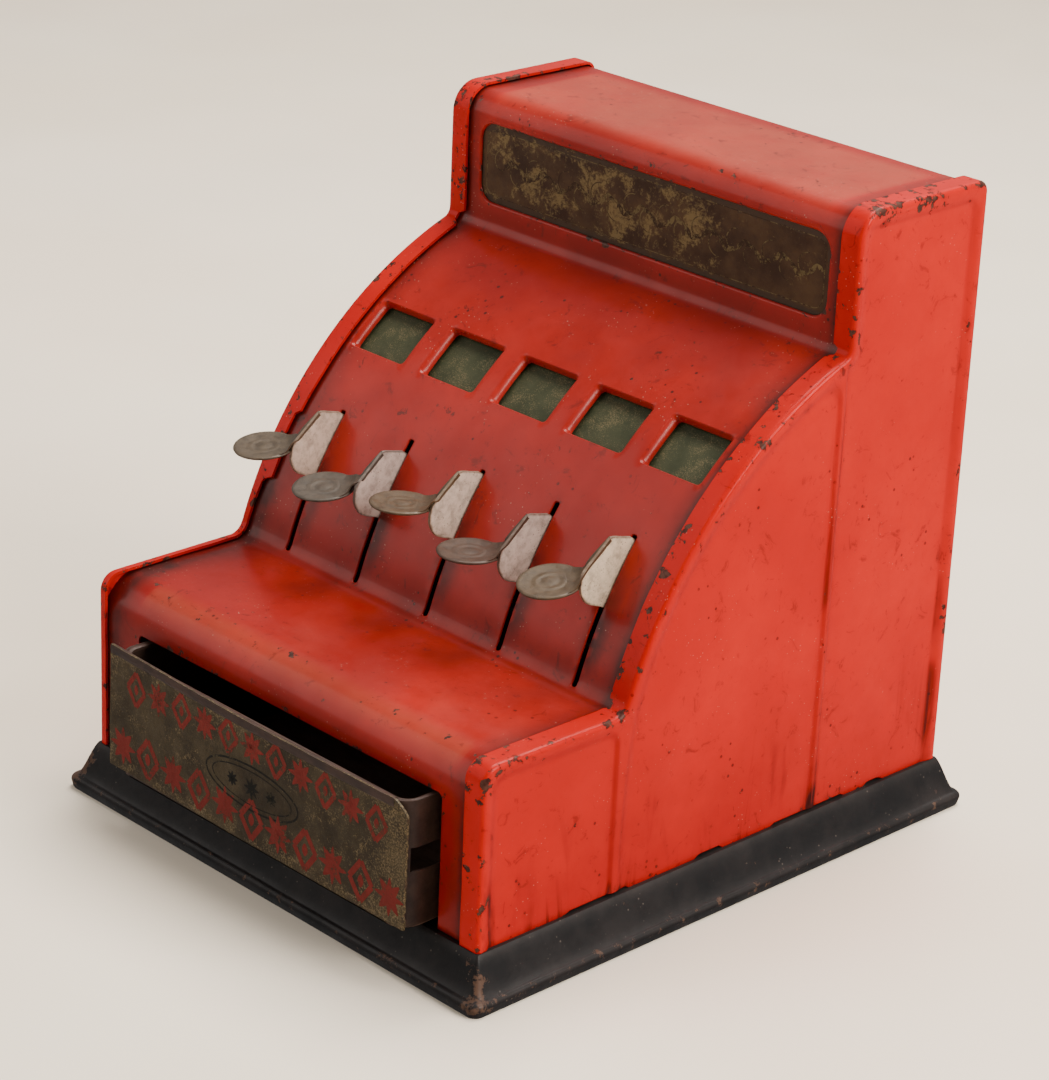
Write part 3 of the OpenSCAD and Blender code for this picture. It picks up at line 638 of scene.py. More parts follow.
def soft_max(a, b, k):
    """The larger of two distances, with the corner between them rounded over about k."""
    h = np.maximum(k - np.abs(a - b), 0) / k
    return np.maximum(a, b) + h * h * k / 4


def field_distance(y, z):
    """Distance to the nearest of the three pressed fields."""
    arc = np.hypot(y - PIVOT[0], z - PIVOT[1]) - (SWEEP_R - SWEEP_MARGIN)
    sweep = soft_max(box_distance(y, z, *SWEEP_FIELD), arc, 7.0)
    return np.minimum(np.minimum(box_distance(y, z, *SHELF_FIELD), sweep), box_distance(y, z, *TOWER_FIELD))


def panel_recess(points, seed):
    pressed = FIELD_DEPTH * smooth(FIELD_EDGE / 2, -FIELD_EDGE / 2,
                                   field_distance(points[:, 0], points[:, 1]))
    return pressed + 0.25 + dents(points, 34, 0.22, seed)


def tab_height(y, steps):
    """Bottom edge of a side panel: it stands a little off the base between its tabs."""
    gap = np.zeros_like(y)
    for start, stop, height in steps:
        gap = np.maximum(gap, height * smooth(start - 0.3, start + 0.3, y)
                         * smooth(stop + 0.3, stop - 0.3, y))
    return gap


def side_panel(name, side, flange_width, steps, seed):
    """A side panel: pressed fields, a rounded bend and the flange that it turns over the cover."""
    shape = Shape()
    half = CASE_W / 2
    ring = outline(BEND_R)
    floor_y = np.arange(CASE_D - BEND_R - STEP, BEND_R + STEP / 2, -STEP)
    floor = np.stack((floor_y, tab_height(floor_y, steps)), axis=1)
    rim = np.concatenate((ring, floor))
    # lines of points, closer together where the fields meet
    spans = (0, 40, 1.15), (40.4, 44.6, 0.45), (45.2, 108, 1.15), (108.4, 112.4, 0.45), (113, CASE_D, 1.15)
    grid = grid_points(np.concatenate([np.arange(*span) for span in spans]), np.arange(0, CASE_H, 1.15))
    flat, tris = fill([rim], grid=grid, margin=0.6)
    closest, away = nearest(flat, ring)
    near_rim = smooth(5.0, 0.6, away) * rim_knocks(ring)[closest]
    near_floor = smooth(2.5, 0.5, flat[:, 1])
    recess = panel_recess(flat, seed) * (1 - smooth(2.5, 0.4, away))
    wear = np.maximum(0.85 * near_rim, 0.3 * near_floor)
    # Darker towards the bottom and along the foot, and a line of painted shade along the pressed fields'
    # edges.
    grime = 0.30 * near_floor + 0.42 * smooth(46, 2, flat[:, 1])
    grime += 0.55 * smooth(1.3, 0.2, np.abs(field_distance(flat[:, 0], flat[:, 1])))
    shape.add([(side * (half - r), y, z) for (y, z), r in zip(flat, recess)], tris, wear, grime)
    # the bend, from the panel to the flange
    top = outline()
    knocks = rim_knocks(top)
    rows, wear = [], []
    bend_steps = 7
    for k in range(bend_steps + 1):
        a = math.pi / 2 * k / bend_steps
        points = outline(BEND_R * (1 - math.sin(a)))
        rows.append([(side * (half - BEND_R * (1 - math.cos(a))), y, z) for y, z in points])
        wear.append(knocks * (0.85 + 0.15 * math.sin(2 * a)))
    length = np.concatenate(([0], np.cumsum(np.linalg.norm(np.diff(top, axis=0), axis=1))))
    width = flange_width(top, length)
    flange_steps = 5
    for k in range(1, flange_steps + 1):
        t = k / flange_steps
        rows.append([(side * (half - BEND_R - (w - BEND_R) * t), y, z) for (y, z), w in zip(top, width)])
        wear.append(knocks * (0.70 + 0.30 * t * t))
    shape.strip(rows, np.array(wear))
    shape.build(name, ENAMEL_SIDE_LIT, "case", "red_enamel", [name], SHEET * 0.9, front=(side, 0, 0))


def rim_knocks(points):
    """How knocked about the rim is: most on the top and at the shelf's front corner, least on the sweep."""
    y, z = points[:, 0], points[:, 1]
    knocks = 0.40 + 0.12 * smooth(CASE_H - 9, CASE_H - 2, z) * smooth(MARQUEE_Y + 38, MARQUEE_Y + 20, y)
    knocks += 0.12 * smooth(14, 3, np.hypot(y - 1, z - SHELF_H + 1))
    knocks += 0.08 * smooth(8, 2, np.hypot(y - 40, z - SHELF_H))
    knocks -= smooth(SHELF_H - 8, SHELF_H - 16, z) * (0.08 + 0.08 * smooth(CASE_D - 20, CASE_D, y))
    return knocks


def notch(away, half_width, depth):
    """Depth of a soft notch at a distance away from its middle."""
    return depth * smooth(half_width, half_width * 0.45, away)


def bend_middle(centre, radius, top):
    """Distance of each rim point from the middle of a concave bend."""
    near = np.abs(np.hypot(top[:, 0] - centre[0], top[:, 1] - centre[1]) - radius)
    on_bend = top[near < 0.05]
    middle = on_bend[len(on_bend) // 2]
    return np.hypot(top[:, 0] - middle[0], top[:, 1] - middle[1])


def right_flange(top, length):
    """Flange width along the right rim: small notches where the sheet turns a concave corner."""
    width = np.full(len(top), float(FLANGE_W))
    width -= notch(bend_middle(knee_centre(), KNEE_R, top), 1.6, 1.3)
    width -= notch(bend_middle(crease_centre(), CREASE_R, top), 1.8, 1.6)
    return width + [0.2 * noise.noise(Vector((l / 9, 3.1, 0))) for l in length]


def left_flange(top, length):
    """Flange width along the left rim: narrow over the shelf, with a tab on the lower part of the sweep."""
    angle = np.degrees(np.arctan2(top[:, 1] - PIVOT[1], PIVOT[0] - top[:, 0]))
    lower = (top[:, 1] < SHELF_H + 30) & (top[:, 0] < 80)
    angles, widths = (20, 25.2, 25.6, 29.6, 30.0, 36, 37), (2.6, 3.2, 5.9, 5.9, 4.3, 4.6, 6)
    width = np.where(lower, np.interp(angle, angles, widths), FLANGE_W)
    width = np.where(top[:, 1] < SHELF_H + 0.8, 2.6, width)
    width -= notch(bend_middle(crease_centre(), CREASE_R, top), 1.8, 2.0)
    return width + [0.2 * noise.noise(Vector((l / 9, 7.7, 0))) for l in length]


# Where each panel stands off the base, between its tabs: start, end and height
RIGHT_STEPS = [(28, 48, 0.7), (71, 79, 0.9), (97, 122, 0.6), (131, 136, 0.9)]
LEFT_STEPS = [(20, 60, 0.6), (90, 118, 0.7)]
side_panel("right_side", 1, right_flange, RIGHT_STEPS, 2.0)
side_panel("left_side", -1, left_flange, LEFT_STEPS, 5.0)

# ---------------------------------------------------------------- cover

track = Track()
COVER_HALF = CASE_W / 2 - SHEET - 0.25
# The turned-in edges of the holes: how much the outline shrinks, and how deep it lies there
WINDOW_ROLL = [(0, 0), (0.45, 0.10), (0.90, 0.40), (1.25, 0.80), (1.55, 1.40), (1.70, LIP + 0.3)]
SLOT_ROLL = [(0, 0), (0.10, 0.04), (0.20, 0.15), (0.25, 0.45)]
LABEL_ROLL = [(0, 0), (0.15, 0.03), (0.36, 0.14), (0.52, 0.36), (0.60, 0.62)]


def cover_point(x, s, depth=0.0):
    y, z, ny, nz = track.at(s)
    return (x, y - ny * depth, z - nz * depth)


def rolled_hole(shape, ring_at, depths, wear):
    """The turned-in edge of a hole: rings of the same outline, each further in and smaller."""
    rows = [[cover_point(x, s, depth) for x, s in ring_at(shrink)] for shrink, depth in depths]
    shape.strip(rows, wear, closed=True)


def window_ring(x, low, high, shrink):
    """Outline of a window: its side edges lean in more than the upper and lower ones."""
    w, h = WINDOW_W + 3.4, high - low + 1.0
    ring = np.array(rounded(w, h, 1.2, (0, 0), 5))
    return ring * (1 - 2 * shrink / w, 1 - 0.6 * shrink / h) + (x, (low + high) / 2)


def slot_grime(x, s):
    """Dark ellipses round and below each slot, painted shadow of the keys with dirt; painted shade with dirt
    along the rims, and painted shade in the knee and the crease; below zero, dust with painted sheen on the
    top and along the shelf's front bend.
    """
    low, high = (track.of_angle(a) for a in SLOT_ANGLES)
    grime = np.zeros_like(x)
    # Painted shadow of each key, with dirt: an ellipse right of and below its slot, and a smaller one round
    # the slot.
    for n in KEYS:
        dx = (x - key_x(n) - 1.8) / 5.8
        ds = (s - (low * 0.62 + high * 0.38)) / ((high - low) * 0.52)
        grime = np.maximum(grime, 0.95 * smooth(1.0, 0.1, np.hypot(dx, ds)))
        dx = (x - key_x(n)) / 2.2
        ds = (s - (low + high) / 2) / ((high - low) * 0.6)
        grime = np.maximum(grime, 0.55 * smooth(1.0, 0.2, np.hypot(dx, ds)))
    # Painted shade with dirt along the flanges' edges, and fainter beside them.
    rim = COVER_HALF - FLANGE_W
    grime = np.maximum(grime, 0.95 * smooth(rim - 2.2, rim + 0.2, np.abs(x)))
    grime = np.maximum(grime, 0.40 * smooth(rim - 7, rim - 1, np.abs(x)))
    # Painted shade in the knee and in the crease.
    knee_s = track.of_angle(19)
    grime = np.maximum(grime, 0.26 * smooth(8, 1, np.abs(s - knee_s + 1)))
    crease_s = track.of_marquee(CASE_H - 40)
    grime = np.maximum(grime, 0.22 * smooth(5, 0.5, np.abs(s - crease_s)))
    # Dust with painted sheen, as negative values, on the top and along the shelf's front bend.
    top_s = track.of_marquee(CASE_H - TOP_R - 0.5) + 9
    shelf_edge = track.s[np.argmax(track.points[:, 1] > SHELF_H - COVER_IN - 1.5)]
    turn_s = track.end - BACK_TURN
    dusty = 0.26 * smooth(top_s - 8, top_s + 4, s) * smooth(turn_s, turn_s - 5, s)
    dusty += 0.22 * smooth(7, 1, np.abs(s - shelf_edge))
    return np.where(grime > 0.1, grime, grime - dusty)


def cover():
    """The bent cover: strips beside the drawer, shelf, key panel, marquee, top, and turn over the back."""
    shape = Shape()
    sides = np.arange(0, track.end, STEP)
    rise = np.arange(0, OPENING_H - 1.5, STEP)
    half_open = OPENING_W / 2
    corner = [turn((half_open - 1.5, OPENING_H - 1.5), 1.5, a) for a in np.linspace(0, math.pi / 2, 5)]
    across = np.arange(half_open - 1.5 - STEP, 0, -STEP)
    right = [(half_open, z) for z in rise] + [tuple(p) for p in corner] + [(x, OPENING_H) for x in across]
    arch = right + [(-x, z) for x, z in right[::-1]]
    rim = [(x, 0.0) for x in np.arange(-COVER_HALF, -half_open - 0.5, STEP)]
    rim += arch[::-1]
    rim += [(x, 0.0) for x in np.arange(half_open + STEP, COVER_HALF - 0.5, STEP)]
    rim += [(COVER_HALF, s) for s in sides]
    rim += [(x, track.end) for x in np.arange(COVER_HALF, -COVER_HALF, -2.0)]
    rim += [(-COVER_HALF, s) for s in sides[:0:-1]]

    low, high = (track.of_angle(a) for a in WINDOW_ANGLES)
    slot_low, slot_high = (track.of_angle(a) for a in SLOT_ANGLES)
    label_s = track.of_marquee(LABEL_Z)

    def slot_ring(x, shrink):
        w, h = SLOT_W + 0.5 - 2 * shrink, slot_high - slot_low + 0.5 - 2 * shrink
        return rounded(w, h, 0.72 - 0.9 * shrink, (x, (slot_low + slot_high) / 2), 4)

    def label_ring(shrink):
        w, h = LABEL_W + 1.2 - 2 * shrink, LABEL_H + 1.2 - 2 * shrink
        return rounded(w, h, LABEL_R + 0.6 - shrink, (0, label_s), 8)

    rings = []
    for n in KEYS:
        window_x = key_x(n) + WINDOW_SHIFT
        rings.append((lambda shrink, x=window_x: window_ring(x, low, high, shrink), WINDOW_ROLL, 0.10))
        rings.append((lambda shrink, x=key_x(n): slot_ring(x, shrink), SLOT_ROLL, 0.1))
    rings.append((label_ring, LABEL_ROLL, 0.38))

    grid = grid_points(np.arange(-COVER_HALF, COVER_HALF, 1.7), track.lines())
    flat, tris = fill([np.array(rim)], [ring_at(0) for ring_at, _, _ in rings], grid, 0.65)
    x, s = flat[:, 0], flat[:, 1]
    edge = rim_distance(flat, np.array(arch))
    wear = 0.40 * smooth(4, 0.5, edge)
    away = [rim_distance(flat, ring_at(0)) for ring_at, _, _ in rings]
    for distance, (_, _, amount) in zip(away, rings):
        wear = np.maximum(wear, amount * smooth(1.8, 0.2, distance))
    front_s, top_s = SHELF_H - COVER_IN - 2, track.of_marquee(CASE_H - TOP_R - 0.5) + 5
    wear = np.maximum(wear, 0.24 * smooth(8, 1, np.abs(s - front_s - 4)))
    wear = np.maximum(wear, 0.20 * smooth(6, 1, np.abs(s - top_s)))
    bow = dents(flat / np.array((1.6, 1)), 30, 0.16, 9.0) * smooth(0.5, 6, COVER_HALF - FLANGE_W - np.abs(x))
    bow *= smooth(0.3, 5, np.min(away, axis=0))
    points = [cover_point(a, b, 0.12 + c) for a, b, c in zip(x, s, bow)]
    shape.add(points, tris, wear, slot_grime(x, s))
    for ring_at, depths, amount in rings:
        rolled_hole(shape, ring_at, [(shrink, depth + 0.12) for shrink, depth in depths], amount)
    shape.build("front_cover", ENAMEL_COVER_SHADED, "case", "red_enamel", ["front_cover"], SHEET * 0.8,
                front=(0, -1, 1))


cover()

# ---------------------------------------------------------------- back plate and label


def back_plate():
    """The flat back, with one broad field pressed in."""
    (x0, _, z0), (x1, y, z1) = node_box("back_plate")
    shape = Shape()
    rim = rounded(x1 - x0, z1 - z0, 1.0, (0, (z0 + z1) / 2), 3)
    flat, tris = fill([rim], grid=grid_points(np.arange(x0, x1, 1.8), np.arange(z0, z1, 1.8)))
    pressed = smooth(0.8, -0.8, box_distance(flat[:, 0], flat[:, 1], x0 + 9, x1 - 9, 9, z1 - 15, 4))
    away = rim_distance(flat, rim)
    depth = 0.02 + 0.35 * pressed + (0.12 + dents(flat, 38, 0.2, 14.0)) * smooth(0, 8, away)
    wear = 0.4 * smooth(2.5, 0.5, away)
    shape.add([(x, y - d, z) for (x, z), d in zip(flat, depth)], tris, wear)
    shape.build("back_plate", ENAMEL_BACK, "case", "red_enamel", ["back_plate"], SHEET * 0.6, front=(0, 1, 0))


def ribbon(shape, points, width, place, lift=0.0):
    """A flat stroke along 2-D points, laid on the surface that place(u, v, lift) gives."""
    points = np.array(points, float)
    along = np.gradient(points, axis=0)
    along /= np.linalg.norm(along, axis=1)[:, None]
    across = np.stack((-along[:, 1], along[:, 0]), axis=1)
    widths = np.broadcast_to(np.asarray(width, float), len(points))
    rows = [[place(*(p + c * w * k / 2), lift) for k in (-1, 0, 1)]
            for p, c, w in zip(points, across, widths)]
    shape.strip(rows)


def label():
    """The marquee's printed plate: a border line and leaf scrolls in worn gilt."""
    (x0, y, z0), (x1, _, z1) = node_box("marquee_plate")
    w, h = x1 - x0, z1 - z0
    shape = Shape()
    rim = rounded(w, h, 2, (0, 0), 5)
    flat, tris = fill([rim], grid=grid_points(np.arange(-w / 2, w / 2, 1.5), np.arange(-h / 2, h / 2, 1.5)))
    cloud = 0.05 - 0.24 * smooth(0, 28, np.abs(flat[:, 0] + 16) - 26) + dents(flat, 6, 0.30, 21.0)
    edge = smooth(3.6, 2.2, rim_distance(flat, rim))
    wave = dents(flat, 26, 0.10, 23.0)
    shape.add([(x, y + 0.14 + d, v + LABEL_Z) for (x, v), d in zip(flat, wave)], tris, edge, cloud)
    shape.build("marquee_plate", LABEL, "case", "printed_label", ["marquee_plate"], 0.4, front=(0, -1, 0))

    def place(u, v, lift):
        return (u, y + 0.14 + dents([(u, v)], 26, 0.10, 23.0)[0] - lift, v + LABEL_Z)

    print_shape = Shape()
    inner = rounded(LABEL_W - 3.4, LABEL_H - 3.4, LABEL_R - 1.7, (0, 0), 8)
    ribbon(print_shape, np.concatenate((inner, inner[:1])), 0.22, place, 0.03)
    for i in range(-9, 10):
        middle = i * 5.7
        bend = 1 if i % 2 == 0 else -1
        curl = [(middle + r * math.cos(a), bend * (r * math.sin(a) - 0.6)) for r, a in
                ((0.9 + 0.42 * t, 0.75 * t) for t in np.linspace(0, 6.6, 26))]
        ribbon(print_shape, curl, np.linspace(0.55, 0.2, 26), place, 0.035)
        leaf = np.linspace(0, 1, 9)
        for tilt in (0.5, 2.2):
            spine = [(middle + 3.0 + 2.9 * t * math.cos(tilt), bend * (-2.2 + 3.6 * t * math.sin(tilt)))
                     for t in leaf]
            ribbon(print_shape, spine, 0.1 + 1.15 * np.sin(math.pi * leaf), place, 0.035)
    print_shape.build("label_scrolls", GILT_INK, "case", "printed_label", keep=True)


back_plate()
label()

# ---------------------------------------------------------------- base


BASE_CORNER_R = 2.6         # round of the skirt's corners at the lip


def skirt_section():
    """Section of the pressed skirt: distance out from the case and height over the floor."""
    ledge, lip_r, lip_z = SKIRT_W * 0.05, 1.4, BASE_H * 0.18
    fall = BASE_H - lip_z - lip_r
    points = [(-0.6, BASE_H), (-0.1, BASE_H)]
    for u in np.linspace(0, 1, 20):
        drop = 0.6 * u + 0.2 * (1 - math.cos(math.pi * u))
        points.append((ledge + (SKIRT_W - lip_r - ledge) * u, BASE_H - fall * drop))
    points += [tuple(turn((SKIRT_W - lip_r, lip_z), lip_r, math.radians(a))) for a in np.linspace(75, -20, 9)]
    return points + [(SKIRT_W - 0.35, 0.45), (SKIRT_W - 0.6, 0.02), (SKIRT_W - 2.9, 0.02)]


def base_ring(out):
    """Points round the base at a distance out from the case, and how near a corner each is."""
    reach_w, reach_d = CASE_W / 2 + out, CASE_D / 2 + out
    radius = max(0.25, BASE_CORNER_R - 0.38 * (SKIRT_W - out))
    points, nearness = [], []
    for i, (sx, sy) in enumerate(((1, 1), (-1, 1), (-1, -1), (1, -1))):
        centre = (sx * (reach_w - radius), sy * (reach_d - radius))
        points += [turn(centre, radius, math.pi / 2 * (i + k / 8)) for k in range(9)]
        nearness += [1.0] * 9
        side = 2 * ((reach_w if i % 2 == 0 else reach_d) - radius)
        direction = turn((0, 0), 1, math.pi / 2 * (i + 2))
        last, count = points[-1], 90
        for k in range(1, count):
            points.append(last + direction * side * k / count)
            nearness.append(max(0.0, 1 - min(k, count - k) / 2.2))
    return np.array(points), np.array(nearness)


def base_pan():
    """The pressed base: a skirt round the case, and the flat top inside it with a hole under the latch."""
    shape = Shape()
    rows, wear, grime = [], [], []
    for out, height in skirt_section():
        points, nearness = base_ring(out)
        wobble = dents(points, 20, 0.16, 31.0) * min(1, max(0, out) / 3) * (height > 1)
        rows.append([(x, y + CASE_D / 2, height - BASE_H + w) for (x, y), w in zip(points, wobble)])
        lip = float(smooth(SKIRT_W - 1.8, SKIRT_W - 0.4, out)) * (height > 0.5)
        shoulder = float(smooth(0.2, 1.5, out)) * (height > 0.5)
        wear.append(0.30 * lip + 0.72 * nearness * shoulder * smooth(20, 0, points[:, 1]))
        dusty = 0.5 * float(smooth(1.6, 0.2, out)) + 0.25 * float(smooth(3, 5, out)) * (height > 2.5)
        grime.append([dusty] * len(points))
    shape.strip(rows, np.array(wear), np.ravel(grime), closed=True)
    (x0, latch_y, _), (x1, _, _) = node_box("drawer_latch")
    hole = rounded(10, 19, 1, ((x0 + x1) / 2, latch_y + 5.5), 3)
    top = np.array([(x, y) for x, y, _ in rows[0]])
    grid = grid_points(np.arange(-CASE_W / 2, CASE_W / 2, 3.0), np.arange(0, CASE_D, 3.0))
    flat, tris = fill([top], [hole], grid, 1.0)
    sink = 0.05 * smooth(0, 4, rim_distance(flat, top))
    shape.add([(x, y, -d) for (x, y), d in zip(flat, sink)], tris, 0, 0.3)
    shape.build("base_pan", BLACK, "case", "black_enamel", ["base_pan"], SHEET * 0.8, flat=50,
                front=(0, 0, 1))


base_pan()

# ---------------------------------------------------------------- keys

# Front of the blade outside its slot, from its foot up: distance out from the cover, and angle
BLADE = [(0.6, -4.5), (2.5, -4.65), (5.1, -4.75), (7.0, -4.4), (8.9, -3.7), (9.8, -2.9), (10.4, -2.0),
         (10.2, -1.2), (9.2, 0.1), (8.1, 1.7), (7.4, 2.9), (6.4, 3.45), (3.6, 4.0), (1.0, 4.55)]
# For each key: the blade's pale bloom, the pad's colour, the stain, and how stained it is
KEY_LOOKS = {1: ((0.55, 0.42, 0.33), (0.080, 0.056, 0.034), (0.13, 0.075, 0.040), 0.1),
             2: ((0.46, 0.36, 0.31), (0.066, 0.050, 0.036), (0.08, 0.055, 0.042), 0.0),
             3: ((0.56, 0.44, 0.35), (0.080, 0.050, 0.025), (0.13, 0.075, 0.035), 0.3),
             4: ((0.43, 0.33, 0.28), (0.058, 0.030, 0.018), (0.08, 0.038, 0.020), 0.4),
             5: ((0.60, 0.48, 0.35), (0.080, 0.050, 0.025), (0.11, 0.045, 0.022), 0.2)}


def lever_point(n, r, degrees, x):
    """A point of a lever: radius and angle about the shaft, relative to its centre line."""
    y, z = polar(r, key_angle(n) + degrees)
    return (key_x(n) + x, y, z)


def lever_plate(n, shape):
    """The flat lever: hub, lower arm with the blade, and the arm that carries the number flag."""
    ring = lambda r, count: [turn((0, 0), r, 2 * math.pi * i / count) for i in range(count)]
    low, high = (tuple(turn((0, 0), SWEEP_IN - 5, math.radians(a))) for a in (-BLADE_HALF, BLADE_HALF))
    front = curve([(*turn((0, 0), SWEEP_IN + out, math.radians(a)), 0) for out, a in BLADE], 60)
    arm = [(0, -3.5), (18, -ARM_W / 2), (96, -ARM_W / 2), low] + [(p.x, p.y) for p in front]
    arm += [high, (96, ARM_W / 2), (18, ARM_W / 2), (0, 3.5)]
    reach = FLAG_R - FLAG_T - 0.1
    tilt = Matrix.Rotation(math.radians(FLAG_ARM_ANGLE), 2)
    half = FLAG_ARM_W / 2
    flag_arm = [tuple(tilt @ Vector(p)) for p in ((0, -half), (reach, -half), (reach, half), (0, half))]
    proud = grid_points(np.arange(SWEEP_IN - 8, SWEEP_IN + 12, 1.0), np.arange(-12, 12, 1.0))
    flat, tris = fill([ring(HUB_R, 40), arm, flag_arm], [ring(SHAFT_R, 32)], proud, 0.5)
    edge = smooth(1.1, 0.1, rim_distance(flat, np.array(dense(arm, 0.5))))
    for x, flip in ((-LEVER_T / 2, False), (LEVER_T / 2, True)):
        points = []
        for (a, b), e in zip(flat, edge):
            r = math.hypot(a, b)
            inwards = 0.10 * e if r > SWEEP_IN + 1 else 0.0
            points.append(lever_point(n, r, math.degrees(math.atan2(b, a)), x - math.copysign(inwards, x)))
        shape.add(points, [t[::-1] if flip else t for t in tris], 0.75 * edge)
    # the narrow sides, along every edge that belongs to one triangle only
    edges = {(int(t[i]), int(t[(i + 1) % 3])) for t in tris for i in range(3)}
    shape.faces += [[a, b, b + len(flat), a + len(flat)] for a, b in sorted(edges) if (b, a) not in edges]


def dense(points, step):
    """The same closed outline with points no further apart than step."""
    made = []
    for a, b in zip(points, points[1:] + points[:1]):
        a, b = np.array(a), np.array(b)
        count = max(1, math.ceil(np.linalg.norm(b - a) / step))
        made += [tuple(a + (b - a) * i / count) for i in range(count)]
    return made


def pad_centre(n):
    """Matrix from upright coordinates about a pad's centre, x across, y back and z up, to the case's."""
    turn_x = lambda degrees: Matrix.Rotation(math.radians(degrees), 4, "X")
    return (Matrix.Translation((key_x(n), PIVOT[0], PIVOT[1])) @ turn_x(-key_angle(n)) @ turn_x(-PAD_ANGLE)
            @ Matrix.Translation((-PAD_R, -SWEEP_IN - PAD_PROUD, 0)) @ turn_x(LEVER_ANGLE + PAD_ANGLE))


PAD_PROFILE_R = 7.6
PAD_PROFILE = [(0.0, 0.30), (0.9, 0.31), (1.5, 0.24), (1.9, 0.17), (2.5, 0.16), (2.9, 0.25), (3.5, 0.26),
               (3.9, 0.17), (4.6, 0.18), (5.2, 0.27), (6.0, 0.30), (6.7, 0.38), (7.2, 0.38), (7.5, 0.26),
               (7.6, 0.05), (7.5, -0.22), (7.2, -0.38), (6.5, -0.42), (4.0, -0.38), (0.0, -0.38)]
# Edges of the neck, from the blade's top down.
# On the blade: across from its middle, out from the cover, and angle.
NECK_BLADE = [((-0.6, 7.0, 3.3), (0.42, 7.35, 3.0)), ((-0.9, 7.75, 2.05), (0.42, 8.1, 1.7)),
              ((-1.4, 8.4, 0.7), (0.42, 9.2, 0.1)), ((-2.1, 8.35, -0.3), (0.42, 9.9, -0.9))]
# On the pad, in its own coordinates: x across, y back and z up from its middle
NECK_PAD = [((4.3, 6.75, 2.3), (8.3, 1.9, 2.6)), ((2.1, 7.3, 1.15), (8.2, 0.2, 1.1)),
            ((0.2, 7.35, 0.5), (7.5, -1.5, 0.5)), ((-1.8, 7.2, 0.1), (6.2, -3.4, 0.1))]


def finger_pad(n, shape):
    """A round pad with faint pressed rings, and the neck that sweeps from it up the blade's front edge."""
    bent = Matrix.Translation((PAD_SHIFTS[n - 1], 0, PAD_LIFTS[n - 1]))
    place = pad_centre(n) @ bent @ Matrix.Rotation(math.radians(PAD_TILTS[n - 1]), 4, "X")
    count = 64
    rows, wear = [], []
    for r, z in PAD_PROFILE:
        r *= PAD_R / PAD_PROFILE_R
        rows.append([place @ Vector((r * math.cos(a), r * 0.98 * math.sin(a),
                                     z + 0.10 * max(0.0, r * math.cos(a) / PAD_R) ** 2))
                     for a in (2 * math.pi * i / count for i in range(count))])
        wear.append(0.45 * float(smooth(6.7, 7.7, r)))
    shape.strip(rows, wear, closed=True)
    left = [Vector(lever_point(n, SWEEP_IN + p[1], p[2], p[0])) for p, _ in NECK_BLADE]
    right = [Vector(lever_point(n, SWEEP_IN + p[1], p[2], p[0])) for _, p in NECK_BLADE]
    left = curve(left + [place @ Vector(p) for p, _ in NECK_PAD], 36)
    right = curve(right + [place @ Vector(p) for _, p in NECK_PAD], 36)
    columns = 8
    shell, shade = [], []
    for i, (a, b) in enumerate(zip(left, right)):
        down = i / (len(left) - 1)
        thick = pad_centre(n).to_3x3() @ Vector((0, 0.6, -0.6)) * (1 - 0.75 * down)
        dished = float(smooth(0.25, 0.6, down) * smooth(1, 0.75, down))
        sag = pad_centre(n).to_3x3() @ Vector((0, 0.35, -0.35)) * dished
        line = [a.lerp(b, k / columns) + sag * math.sin(math.pi * k / columns) for k in range(columns + 1)]
        shell.append(line + [p + thick for p in line[::-1]])
        worn = 0.42 * (1 - float(smooth(0.45, 0.85, down)))
        across = [worn + (0.2 if k in (0, columns) else 0) for k in range(columns + 1)]
        shade.append(across + across[::-1])
    shape.strip(shell, np.array(shade), closed=True)
    for end in (0, -1):
        ring = shell[end]
        shape.add(ring, [list(range(len(ring)))], 0.3)


def curve(points, count):
    """A smooth curve of count points through the given ones."""
    points = [Vector(p) for p in points]
    padded = [2 * points[0] - points[1]] + points + [2 * points[-1] - points[-2]]
    made = []
    for i in range(count):
        t = (len(points) - 1) * i / (count - 1)
        k = min(int(t), len(points) - 2)
        t -= k
        a, b, c, d = padded[k:k + 4]
        made.append(0.5 * (2 * b + (c - a) * t + (2 * a - 5 * b + 4 * c - d) * t * t
                           + (3 * b - a - 3 * c + d) * t ** 3))
    return made


def key(n):
    """One key: its flat lever with the blade, and its finger pad with the neck."""
    bloom, pad_colour, stain, stained = KEY_LOOKS[n]
    blade_metal = key_metal(f"blade_metal_{n}", bloom, stain, 0.0, 0.10)
    pad_metal = key_metal(f"pad_metal_{n}", pad_colour, stain, stained, 0.30)
    shape = Shape()
    lever_plate(n, shape)
    shape.build(f"key_lever_{n}", blade_metal, f"key_{n}", "key_steel", [f"key_lever_{n}"])
    shape = Shape()
    finger_pad(n, shape)
    shape.build(f"finger_pad_{n}", pad_metal, f"key_{n}", "key_steel", flat=50)


FLAG_BELOW, FLAG_ABOVE = 1.5, 11    # how many degrees a flag reaches past its window, down and up
FLAG_NUMBERS = (1, 5, 10, 25, 50)
NUMBER_SIZE = 10.5


